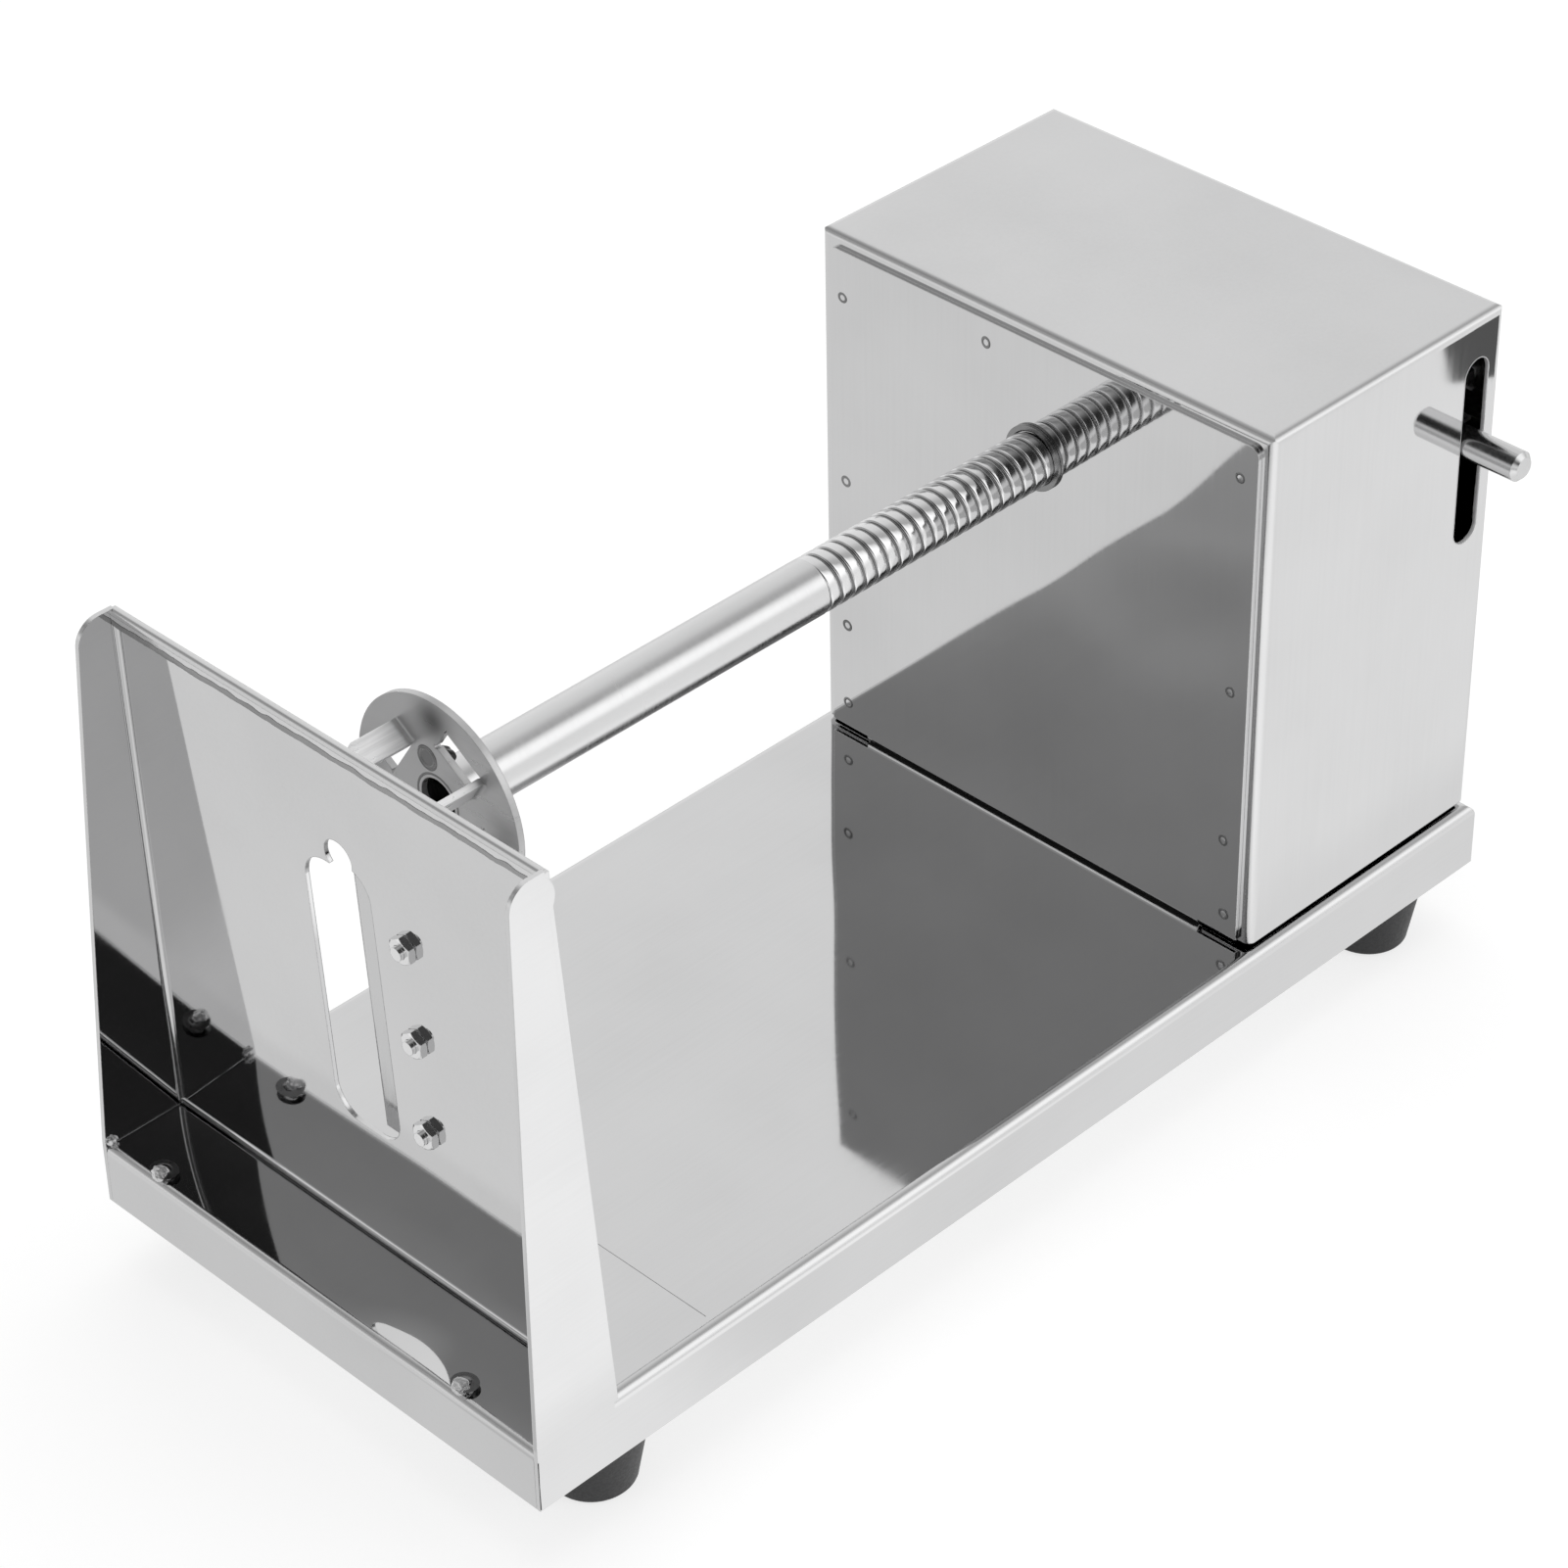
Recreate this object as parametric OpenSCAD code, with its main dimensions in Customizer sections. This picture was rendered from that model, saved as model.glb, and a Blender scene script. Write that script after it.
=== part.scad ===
// Hand cranked spiral cutter for potatoes, after its folded steel body, screw shaft and release lever.
// +X runs from the blade end to the crank, +Z is up, and the origin is the middle of the four feet,
// at the level of the table.

/* [Base] */
// Length of the folded base, over both end lips
base_l = 282.5; // [240:0.5:330]
// Width of the base over its side lips
base_w = 130; // [120:0.5:160]
// Height of the lips that hang round the base
lip_h = 15.5; // [13:0.5:25]
// Thickness of the sheet of the base and its tray
sheet_t = 1; // [0.8:0.1:1.4]
// Outer radius of the base's folded edges
bend_r = 2.5; // [1.8:0.1:3.5]
// Width of the stiffening return under each end lip
return_w = 12; // [6:0.5:13]
// Length of the stiffening returns
return_l = 66; // [40:1:68]

/* [Blade plate] */
// Depth of the outlet bay between the front lip and the fold of the blade plate
bay_l = 20; // [16:0.5:28]
// Height of the blade plate over the base
plate_h = 126.5; // [118:0.5:150]
// How far each side of the plate draws in towards its top
plate_taper = 4.8; // [0:0.1:8]
// How far the plate leans towards the front lip at its top
plate_lean = 5.7; // [0:0.1:9]
// Depth of the side flanges at their top
flange_top = 9; // [7:0.5:10.5]
// Radius of the flanges' top corners
flange_r = 5.5; // [2:0.5:6]
// Depth of the hem folded over the plate's top edge
hem_h = 3.5; // [2.5:0.1:5]
// Width of the blade slot
slot_w = 19; // [17:0.5:20]
// Height of the blade slot's lower end over the base
slot_low = 29.4; // [27:0.2:31]
// Height of the slot's shoulder under the shaft's axis
shoulder_drop = 2.1; // [1:0.1:4]
// Radius of the slot's corners
slot_r = 6.8; // [4:0.2:7.4]
// Diameter of the skewer notch that opens the slot's upper end
notch_d = 7.8; // [6:0.1:9]

/* [Blade] */
// Width of the blade strip
blade_w = 26; // [24:0.5:30]
// Length of the blade strip
blade_l = 68; // [64:0.5:70]
// Thickness of the blade strip
blade_t = 1; // [0.8:0.1:1.4]
// How far the cutting edge stands off the plate
slice_t = 3; // [2.2:0.1:3.6]
// How far the cutting edge lies past the middle of the shaft
blade_past = 0.5; // [0:0.1:2]
// Distance between the blade's screws
blade_pitch = 23; // [20:0.5:25]
// Distance of the blade's screws from its outer edge
blade_inset = 7.6; // [6:0.2:9]

/* [Housing] */
// Length of the housing along the shaft, over its panels
box_l = 75.2; // [71:0.2:90]
// Width of the housing
box_w = 125.4; // [118:0.2:126]
// Height of the housing's top over the base
box_h = 127.5; // [124:0.5:150]
// Gap under the cover's side walls
box_gap = 1.3; // [0.8:0.1:2]
// How far the housing stands in from the rear lip
box_inset = 0.1; // [0:0.1:3]
// Thickness of the cover and of its panels
cover_t = 1; // [0.8:0.1:1.2]
// Outer radius of the cover's folded edges
cover_r = 2; // [1.5:0.1:3]
// Width of the welding flanges round the cover's ends
flange_w = 13.4; // [10:0.2:14]
// How far the panels' edges stay inside the cover's
panel_in = 3.1; // [2.6:0.1:5]
// Depth of the feet folded under the two panels
panel_foot = 16; // [13:0.5:18]
// Outer radius of the bend between a panel and its foot
panel_bend = 1.6; // [1.2:0.1:2.4]
// Width of the release slot in the side wall
lever_slot_w = 7.6; // [7.4:0.1:9]
// Height of the release slot's upper end over the shaft's axis
lever_slot_up = 20.7; // [19:0.1:21.5]
// Height of the release slot's lower end under the shaft's axis
lever_slot_down = 24.5; // [15:0.5:30]
// Distance of the release slot from the rear panel
lever_slot_in = 9.1; // [9:0.1:10]

/* [Shaft] */
// Depth of the shaft's axis below the housing's top
axis_drop = 30.4; // [28.8:0.1:34]
// Outer diameter of the hollow shaft
shaft_d = 12.5; // [11:0.1:13]
// Bore of the shaft, in which the skewer lies
bore_d = 9.5; // [8:0.1:9.8]
// How far the shaft stands out behind the rear panel
shaft_tail = 17.9; // [12:0.1:24]
// Length of the shaft that is smooth, behind the disc
smooth_l = 97.8; // [80:0.2:120]
// Pitch of the screw thread, which is also the thickness of a slice
thread_pitch = 3.35; // [3:0.05:3.7]
// Depth of the screw thread
thread_h = 0.5; // [0.4:0.05:0.7]
// Width of a thread's land at its root
land_w = 2.8; // [2.6:0.05:2.9]
// Radial clearance of the parts that turn or slide in one another
run_gap = 0.06; // [0.03:0.01:0.1]
// Wall of the two bushes round the shaft
bush_wall = 0.6; // [0.4:0.1:1.5]
// How far a bush's flanges stand out round its wall
bush_rim = 0.6; // [0.4:0.1:1.5]
// Thickness of a bush's flanges
bush_t = 0.7; // [0.5:0.05:1]

/* [Claw disc] */
// Distance from the blade plate's fold to the disc
disc_stand = 21; // [19:0.5:24]
// Diameter of the claw disc
disc_d = 45; // [40:0.5:50]
// Thickness of the claw disc
disc_t = 1.5; // [1.2:0.1:2]
// Distance of the windows from the disc's centre
window_in = 10.8; // [9:0.1:12]
// Width of a window and of the prong bent out of it
window_w = 5.8; // [4:0.1:6]
// Length of a window
window_l = 13; // [11:0.5:14]
// Length of a prong
prong_l = 15.5; // [11:0.5:16]
// Diameter of the relief holes at a window's free corners
relief_d = 1; // [0.6:0.1:1.6]
// Inner radius of the prongs' bends
prong_r = 0.8; // [0.5:0.1:1.2]
// Angle of the first window ahead of the crank
claw_turn = 28; // [0:1:90]

/* [Crank] */
// Direction of the crank at rest, from +Y towards +Z
crank_angle = -85; // [-120:1:-60]
// Distance from the shaft's axis to the handle's axis
crank_r = 52; // [48:0.5:56]
// Thickness of the crank arm
arm_t = 2; // [1.5:0.1:2.5]
// Radius of the arm's hub end
hub_r = 10.4; // [9.5:0.1:12]
// Radius of the arm's handle end
arm_end_r = 11.2; // [10:0.1:12]
// Width of the arm's neck
neck_w = 12.6; // [10:0.1:16]
// Gap between the rear panel and the arm's hub
hub_gap = 1.2; // [1.1:0.1:2]
// How far the arm bends away from the housing
arm_rise = 11.7; // [9:0.1:13]
// Length of the handle's grip
grip_l = 61; // [55:0.5:75]
// Diameter of the grip at its swell
grip_d = 22; // [20:0.5:25]
// Diameter of the grip at its tip
grip_tip_d = 14.4; // [13:0.2:16]
// Diameter of the bolt that the grip turns on
grip_bolt_d = 6; // [5:0.5:7]

/* [Release lever] */
// Distance of the lever's pivot from the shaft's axis, sideways
pivot_y = 38.7; // [36:0.1:42]
// Height of the lever's pivot over the shaft's axis
pivot_up = 9.4; // [8:0.1:11]
// Thickness of the lever
lever_t = 3; // [2:0.1:3.2]
// Height of the lever's bar
lever_h = 11; // [9:0.5:12]
// Diameter of the release pin
pin_d = 6.8; // [6:0.1:6.9]
// How far the release pin stands out of the side wall
pin_out = 13.7; // [10:0.1:18]
// Length of the half nut along the shaft
half_nut_l = 13; // [10:0.5:14]
// Width of the half nut
half_nut_w = 20; // [18:0.5:24]
// Height of the half nut's lower face over the shaft's axis
half_nut_low = 2.4; // [2:0.1:3.5]
// Distance of the spring's anchor from the shaft's axis, sideways
anchor_y = 41.2; // [38:0.1:44]
// Depth of the spring's anchor below the shaft's axis
anchor_down = 56.9; // [50:0.1:60]
// Mean diameter of the spring's coil
coil_d = 6.4; // [5:0.1:7]
// Diameter of the spring's wire
wire_d = 1; // [0.8:0.1:1.2]
// Number of turns of the spring
coil_turns = 14; // [10:1:16]

/* [Feet] */
// Distance of the front feet from the front lip
foot_inset_front = 25; // [22:0.5:28]
// Distance of the rear feet from the rear lip
foot_inset_rear = 19.5; // [18:0.5:28]
// Distance of the feet from the side lips
foot_side = 13; // [13:0.5:17]
// Height of a rubber foot
foot_h = 16; // [14:0.5:22]
// Diameter of a foot at its upper end
foot_top_d = 23; // [22:0.5:24]
// Diameter of a foot at its lower end
foot_low_d = 18.4; // [17:0.2:20]
// Diameter of the hole in a foot's lower face
foot_hole_d = 8; // [7.6:0.1:9]
// Depth of the hole in a foot's lower face, up to the recess of its screw
foot_hole_h = 7; // [5:0.5:7.5]

/* [Fasteners] */
// Diameter of the screws in the feet, the panels and the base
screw_d = 4; // [3.5:0.1:4.2]
// Diameter of the small screws in the blade and the half nut
small_screw_d = 3; // [2.5:0.1:3.2]
// Clearance of a screw in its hole, all round
hole_gap = 0.15; // [0.1:0.05:0.3]

/* [Hidden] */

steel = [0.78, 0.78, 0.79];
dark_steel = [0.55, 0.56, 0.58];
screw_steel = [0.82, 0.82, 0.84];
black_plastic = [0.03, 0.03, 0.03];
black_rubber = [0.06, 0.06, 0.06];

e = 0.1; // how far a cutting shape runs past the face that it opens
fine = 64;
round_fn = 32;

foot_span_x = base_l - foot_inset_front - foot_inset_rear;
foot_span_y = base_w - 2 * foot_side;
front_x = -(foot_span_x / 2 + foot_inset_front);
rear_x = front_x + base_l;
bracket_t = sheet_t;
lip_z = foot_h;
top_z = lip_z + lip_h;
fold_x = front_x + bay_l;
axis_h = box_h - axis_drop;
axis_z = top_z + axis_h;
lean = atan(plate_lean / plate_h);
taper = atan(plate_taper / plate_h);
plate_s = plate_h / cos(lean);

box_rear_x = rear_x - box_inset;
box_front_x = box_rear_x - box_l;
box_top_z = top_z + box_h;
cover_front_x = box_front_x + cover_t;
cover_rear_x = box_rear_x - cover_t;
panel_w = box_w - 2 * panel_in;
panel_top_z = box_top_z - panel_in;

disc_x = fold_x + disc_stand;
tube_x = disc_x + disc_t;
tail_x = box_rear_x + shaft_tail;
thread_x0 = tube_x + smooth_l;
lever_x = box_rear_x - lever_slot_in;
thread_x1 = lever_x - lever_t / 2 - 1;
thread_turns = (thread_x1 - thread_x0) / thread_pitch;
thread_steps = 16;
root_r = shaft_d / 2 - thread_h;
bush_r = shaft_d / 2 + run_gap + bush_wall;
bush_flange_r = bush_r + bush_rim;

hub_x = box_rear_x + hub_gap;
arm_face_x = hub_x + arm_rise + arm_t;
grip_x = arm_face_x + 0.3;
grip_end_x = grip_x + grip_l;
cap_d = grip_tip_d - 0.8;
cap_h = 2.8;
weld_gap = 0.02; // hairline between parts that are welded or pressed together

pivot_z = axis_z + pivot_up;
lever_back_x = lever_x + lever_t / 2;
lever_front_x = lever_x - lever_t / 2;
lever_over = 1.2; // clearance of the lever over the shaft
lever_mid_z = axis_z + shaft_d / 2 + lever_over + lever_h / 2;
lever_tip_y = -(box_w / 2 - 12);
post_z = axis_z + 3.5;
anchor_z = axis_z - anchor_down;
spring_x = lever_front_x - 4.6;
hook_r = screw_d / 2 + 0.3 + wire_d / 2;
head_h = 0.6 * screw_d;
head_d = 1.75 * screw_d;
small_head_h = 0.62 * small_screw_d;
small_head_d = 1.95 * small_screw_d;
nut_w = 1.75 * screw_d;
nut_h = 0.8 * screw_d;
small_nut_w = 1.83 * small_screw_d;
small_nut_h = 0.6 * small_screw_d;
seat_d = head_d + 0.4;
seat_z = foot_hole_h + head_h + 0.6; // where a foot rests on its screw's head
thread_gap = 0.05; // hairline between a screw and its own nut

// A wall profile, seen along the wall: w wide, h deep from the top edge at y = 0, upper corners of radius r
module rounded_top(w, h, r) {
    translate([-w / 2 + r, -h]) square([w - 2 * r, h]);
    translate([-w / 2, -h]) square([w, h - r]);
    for (s = [-1, 1]) translate([s * (w / 2 - r), -r]) circle(r, $fn = fine);
}

// The same profile with only its corner towards +x rounded, from x0 to x1
module rounded_end(x0, x1, h, r) {
    translate([x0, -h]) square([x1 - r - x0, h]);
    translate([x0, -h]) square([x1 - x0, h - r]);
    translate([x1 - r, -r]) circle(r, $fn = fine);
}

// Lays a profile in the YZ plane and draws it out from x0 to x1
module along_x(x0, x1, z) {
    translate([x0, 0, z]) rotate([90, 0, 90]) linear_extrude(x1 - x0) children();
}

// Lays a profile in the XZ plane and draws it out over the width w about y = 0
module across_y(w, z) {
    translate([0, w / 2, z]) rotate([90, 0, 0]) linear_extrude(w) children();
}

// The same profile from x0 to x1 with both its upper corners rounded
module rounded_both(x0, x1, h, r) {
    translate([(x0 + x1) / 2, 0]) rounded_top(x1 - x0, h, r);
}

// A box of sheet from x0 to x1, w wide and h deep under z, with round upper and end edges and no floor
module folded_box(x0, x1, w, h, z, r) {
    intersection() {
        along_x(x0, x1, z) rounded_top(w, h, r);
        across_y(w, z) rounded_both(x0, x1, h, r);
        translate([0, 0, z - h]) linear_extrude(h) {
            translate([x0, -w / 2 + r]) square([x1 - x0, w - 2 * r]);
            translate([x0 + r, -w / 2]) square([x1 - x0 - 2 * r, w]);
            for (x = [x0 + r, x1 - r], y = [r - w / 2, w / 2 - r]) translate([x, y]) circle(r, $fn = fine);
        }
    }
}

// A round bar along X
module bar_x(x0, x1, d, y = 0, z = 0, sides = fine) {
    translate([x0, y, z]) rotate([0, 90, 0]) cylinder(h = x1 - x0, d = d, $fn = sides);
}

// A pan head screw along Z: its head stands on z = 0 and its shank runs down to -l
module pan_screw(d, l, hd, hh) {
    difference() {
        union() {
            cylinder(h = 0.55 * hh, d = hd, $fn = round_fn);
            translate([0, 0, 0.55 * hh]) cylinder(h = 0.45 * hh, d1 = hd, d2 = 0.7 * hd, $fn = round_fn);
            translate([0, 0, -l]) cylinder(h = l + e, d = d, $fn = round_fn);
        }
        for (a = [0, 90]) rotate(a) translate([-0.28 * hd, -0.06 * hd, 0.4 * hh])
            cube([0.56 * hd, 0.12 * hd, hh]);
    }
}

// A hexagon nut with chamfered corners that stands on z = 0, on a screw of diameter d
module hex_nut(d, w, h) {
    face_r = 0.48 * w;
    rim_r = w / 2 / cos(30) + 0.1;
    drop = (rim_r - face_r) * tan(30);
    difference() {
        intersection() {
            cylinder(h = h, d = w / cos(30), $fn = 6);
            rotate_extrude($fn = fine)
                polygon([[0, 0], [face_r, 0], [rim_r, drop], [rim_r, h - drop], [face_r, h], [0, h]]);
        }
        translate([0, 0, -e]) cylinder(h = h + 2 * e, d = d + 2 * thread_gap, $fn = round_fn);
    }
}

// Sweeps a profile of [radius, length] points round the X axis, at pitch p, from angle a0 to a1
module helix_sweep(profile, p, a0, a1, steps) {
    k = len(profile);
    n = ceil((a1 - a0) / 360 * steps);
    points = [for (i = [0:n]) let (a = a0 + (a1 - a0) * i / n, x = p * a / 360)
        for (q = profile) [x + q[1], q[0] * cos(a), q[0] * sin(a)]];
    sides = [for (i = [0:n - 1], j = [0:k - 1])
        let (a = k * i + j, b = k * i + (j + 1) % k) each [[a, b, a + k], [b, b + k, a + k]]];
    ends = [for (j = [1:k - 2]) each [[0, j + 1, j], [k * n, k * n + j, k * n + j + 1]]];
    polyhedron(points, concat(sides, ends));
}

// Places a shape on the leaning blade plate: x is its normal towards the crank, z runs up the plate
module on_plate() {
    translate([fold_x, 0, top_z]) rotate([0, -lean, 0]) children();
}

slot_y1 = slot_w / 2 + 0.7;
slot_y0 = slot_y1 - slot_w;
shoulder_z = axis_h - shoulder_drop;
blade_y1 = blade_past;
blade_y0 = blade_y1 - blade_w;
blade_z0 = slot_low - 1.4;
blade_screw_y = blade_y0 + blade_inset;
blade_screw_z = [for (i = [0:2]) (slot_low + shoulder_z) / 2 + 0.5 + (i - 1) * blade_pitch];

// The open slot in the plate's own plane: round corners, a shoulder, and the notch that the skewer runs in
module slot_outline() {
    translate([slot_y0, slot_low + slot_r]) square([slot_w, shoulder_z - slot_low - 2 * slot_r]);
    translate([slot_y0 + slot_r, slot_low]) square([slot_w - 2 * slot_r, shoulder_z - slot_low]);
    for (y = [slot_y0 + slot_r, slot_y1 - slot_r], z = [slot_low + slot_r, shoulder_z - slot_r])
        translate([y, z]) circle(slot_r, $fn = fine);
    translate([slot_y0 + 6.4, shoulder_z - 4.4]) circle(6.4, $fn = fine);
    translate([-0.6, axis_h + 0.7]) circle(d = notch_d, $fn = fine);
}

module plate_body() {
    half = base_w / 2;
    on_plate() difference() {
        union() {
            rotate([90, 0, 90]) linear_extrude(sheet_t)
                polygon([[-half, -sheet_t / 2], [half, -sheet_t / 2], [half, 0],
                    [half - plate_taper, plate_s - sheet_t / 2], [plate_taper - half, plate_s - sheet_t / 2],
                    [-half, 0]]);
            translate([-sheet_t, plate_taper - half + sheet_t, plate_s - hem_h])
                cube([sheet_t, base_w - 2 * plate_taper - 2 * sheet_t, hem_h - sheet_t]);
            translate([0, half - plate_taper - sheet_t, plate_s - sheet_t]) rotate([90, 0, 0])
                cylinder(h = base_w - 2 * plate_taper - 2 * sheet_t, r = sheet_t, $fn = round_fn);
        }
        translate([-e, 0, 0]) rotate([90, 0, 90]) linear_extrude(sheet_t + 2 * e) slot_outline();
        for (z = blade_screw_z)
            bar_x(-e, sheet_t + e, small_screw_d + 2 * hole_gap, blade_screw_y, z, round_fn);
    }
}

// The side flange that runs up from the side lip to the plate's top, on the +Y side
module side_flange() {
    h = plate_h / cos(taper);
    rim = fold_x - plate_lean - flange_top;
    back = fold_x - plate_lean + sheet_t;
    translate([0, base_w / 2, top_z]) rotate([taper, 0, 0]) rotate([90, 0, 0]) linear_extrude(sheet_t) {
        polygon([[front_x, 0], [rim, h - flange_r], [rim + flange_r, h], [back - sheet_t, h], [fold_x, 0]]);
        translate([rim + flange_r, h - flange_r]) circle(flange_r, $fn = fine);
    }
}

module base_frame() {
    color(steel) difference() {
        union() {
            difference() {
                intersection() {
                    along_x(fold_x, rear_x, top_z) rounded_top(base_w, lip_h, bend_r);
                    across_y(base_w, top_z) rounded_end(fold_x, rear_x, lip_h, bend_r);
                }
                intersection() {
                    along_x(fold_x - e, rear_x, top_z - sheet_t)
                        rounded_top(base_w - 2 * sheet_t, lip_h, bend_r - sheet_t);
                    across_y(base_w, top_z - sheet_t)
                        rounded_end(fold_x - e, rear_x - sheet_t, lip_h, bend_r - sheet_t);
                }
            }
            for (s = [0, 1]) mirror([0, s, 0]) {
                translate([front_x, base_w / 2 - sheet_t, lip_z])
                    cube([bay_l + bend_r, sheet_t, lip_h - bend_r]);
                translate([front_x, base_w / 2 - sheet_t, lip_z]) cube([bay_l, sheet_t, lip_h]);
                side_flange();
            }
            translate([rear_x - return_w, -return_l / 2, lip_z])
                cube([return_w - sheet_t / 2, return_l, sheet_t]);
            plate_body();
        }
        housing_screw_holes(0, 2, top_z - sheet_t, sheet_t);
    }
}

tray_r = 1.8;
tray_lap = 8; // how far the tray reaches under the base, where it is welded

module front_tray() {
    w = base_w - 2 * sheet_t - 0.2;
    lap_w = base_w - 2 * bend_r - 0.2;
    color(steel) {
        difference() {
            across_y(w, top_z - sheet_t) mirror([1, 0])
                rounded_end(-fold_x, -front_x, lip_h - sheet_t, tray_r);
            translate([0, 0, -e]) across_y(w + 2 * e, top_z - 2 * sheet_t) mirror([1, 0])
                rounded_end(-(fold_x + 2 * tray_lap), -(front_x + sheet_t), lip_h, tray_r - sheet_t);
        }
        translate([fold_x - sheet_t, -lap_w / 2, top_z - 2 * sheet_t])
            cube([tray_lap + sheet_t, lap_w, sheet_t]);
        translate([front_x + sheet_t / 2, -return_l / 2, lip_z])
            cube([return_w - sheet_t / 2, return_l, sheet_t]);
    }
}

foot_x = [-foot_span_x / 2, foot_span_x / 2];
foot_y = foot_span_y / 2;
leg_h = lip_h - 2 * sheet_t - bend_r;

// A corner bracket, given the signs of its corner: a tab under the foot's screw, a leg on the side lip
// and an ear along the end lip
module foot_bracket(sx, sy) {
    end_x = sx < 0 ? -front_x - sheet_t - weld_gap : rear_x - sheet_t - weld_gap;
    x = foot_span_x / 2;
    r = foot_top_d / 2;
    side = base_w / 2 - sheet_t - 0.15;
    ear_w = min(11, end_x - x - 2);
    color(dark_steel) mirror([sx < 0 ? 1 : 0, 0, 0]) mirror([0, sy < 0 ? 1 : 0, 0]) difference() {
        union() {
            translate([x, foot_y, lip_z]) cylinder(h = bracket_t, r = r, $fn = fine);
            translate([x - r, foot_y, lip_z]) cube([end_x - x + r, side - foot_y, bracket_t]);
            translate([x, foot_y - r, lip_z]) cube([end_x - x, r, bracket_t]);
            translate([end_x - ear_w, return_l / 2 + 1, lip_z])
                cube([ear_w, foot_y - return_l / 2 - 1, bracket_t]);
            translate([x - r, side - bracket_t, lip_z]) cube([2 * r, bracket_t, leg_h]);
        }
        translate([x, foot_y, lip_z - e])
            cylinder(h = bracket_t + 2 * e, d = screw_d + 2 * hole_gap, $fn = round_fn);
    }
}

// A tapered rubber foot with a round lower edge and a stepped hole
module foot(sx, sy) {
    r0 = foot_low_d / 2;
    r1 = foot_top_d / 2;
    rim = 1.6;
    shank_r = screw_d / 2 + hole_gap;
    color(black_rubber) translate([sx * foot_span_x / 2, sy * foot_y, 0]) rotate_extrude($fn = fine)
        polygon(concat([[foot_hole_d / 2, 0]],
            [for (a = [0:15:90]) [r0 - rim + rim * sin(a), rim - rim * cos(a)]],
            [[r1, foot_h - rim], [r1 - rim / 2, foot_h], [shank_r, foot_h], [shank_r, seat_z],
                [seat_d / 2, seat_z], [seat_d / 2, foot_hole_h], [foot_hole_d / 2, foot_hole_h]]));
}

module at_feet() {
    for (x = foot_x, y = [-foot_y, foot_y]) translate([x, y, 0]) children();
}

module foot_screws() {
    color(screw_steel) at_feet() translate([0, 0, seat_z]) mirror([0, 0, 1])
        pan_screw(screw_d, foot_h - seat_z + bracket_t + nut_h + 1, head_d, head_h);
}

module foot_nuts() {
    color(screw_steel) at_feet() translate([0, 0, lip_z + bracket_t]) hex_nut(screw_d, nut_w, nut_h);
}

// The blade lies on the plate, steps up by a slice's thickness and ends in a ground edge over the slot
module blade() {
    x0 = sheet_t;
    x1 = sheet_t + slice_t;
    step_y = slot_y0 - 1;
    rise_y = step_y + 1.3 * slice_t;
    crook = 0.4 * blade_t;
    color(dark_steel) on_plate() difference() {
        translate([0, 0, blade_z0]) linear_extrude(blade_l)
            polygon([[x0, blade_y0], [x0, step_y], [x1, rise_y], [x1, blade_y1],
                [x1 + blade_t, blade_y1 - 2 * blade_t], [x1 + blade_t, rise_y - crook],
                [x0 + blade_t, step_y - crook], [x0 + blade_t, blade_y0]]);
        for (z = blade_screw_z)
            bar_x(0, x1, small_screw_d + 2 * hole_gap, blade_screw_y, z, round_fn);
    }
}

module at_blade_screws(x) {
    on_plate() for (z = blade_screw_z) translate([x, blade_screw_y, z]) rotate([0, 90, 0]) children();
}

module blade_screws() {
    color(screw_steel) at_blade_screws(sheet_t + blade_t)
        pan_screw(small_screw_d, sheet_t + blade_t + small_nut_h + 0.9, small_head_d, small_head_h);
}

module blade_nuts() {
    color(screw_steel) at_blade_screws(-small_nut_h) hex_nut(small_screw_d, small_nut_w, small_nut_h);
}

slot_z0 = axis_z - lever_slot_down + lever_slot_w / 2;
slot_z1 = axis_z + lever_slot_up - lever_slot_w / 2;

module housing_cover() {
    open_w = box_w - 2 * flange_w;
    h = box_h - box_gap;
    color(steel) difference() {
        folded_box(cover_front_x, cover_rear_x, box_w, h, box_top_z, cover_r);
        folded_box(cover_front_x + cover_t, cover_rear_x - cover_t, box_w - 2 * cover_t, h,
            box_top_z - cover_t, cover_r - cover_t);
        translate([cover_front_x - e, -open_w / 2, box_top_z - h - e])
            cube([box_l, open_w, h - flange_w + e]);
        translate([0, -box_w / 2 + 2 * cover_t, 0]) rotate([90, 0, 0]) linear_extrude(3 * cover_t) {
            translate([lever_x - lever_slot_w / 2, slot_z0]) square([lever_slot_w, slot_z1 - slot_z0]);
            for (z = [slot_z0, slot_z1]) translate([lever_x, z]) circle(d = lever_slot_w, $fn = round_fn);
        }
    }
}

foot_strip_w = box_w - 2 * flange_w - 0.6;
panel_low_z = top_z + box_gap + 0.4;
panel_r = 2.4;
housing_screw_y = 37;
housing_screw_x = [box_front_x + panel_foot / 2 + 0.5, box_rear_x - panel_foot / 2 - 1.8];
housing_screw_at = [[housing_screw_x[0], -housing_screw_y], [housing_screw_x[1], -housing_screw_y],
    [housing_screw_x[1], housing_screw_y]];

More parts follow.
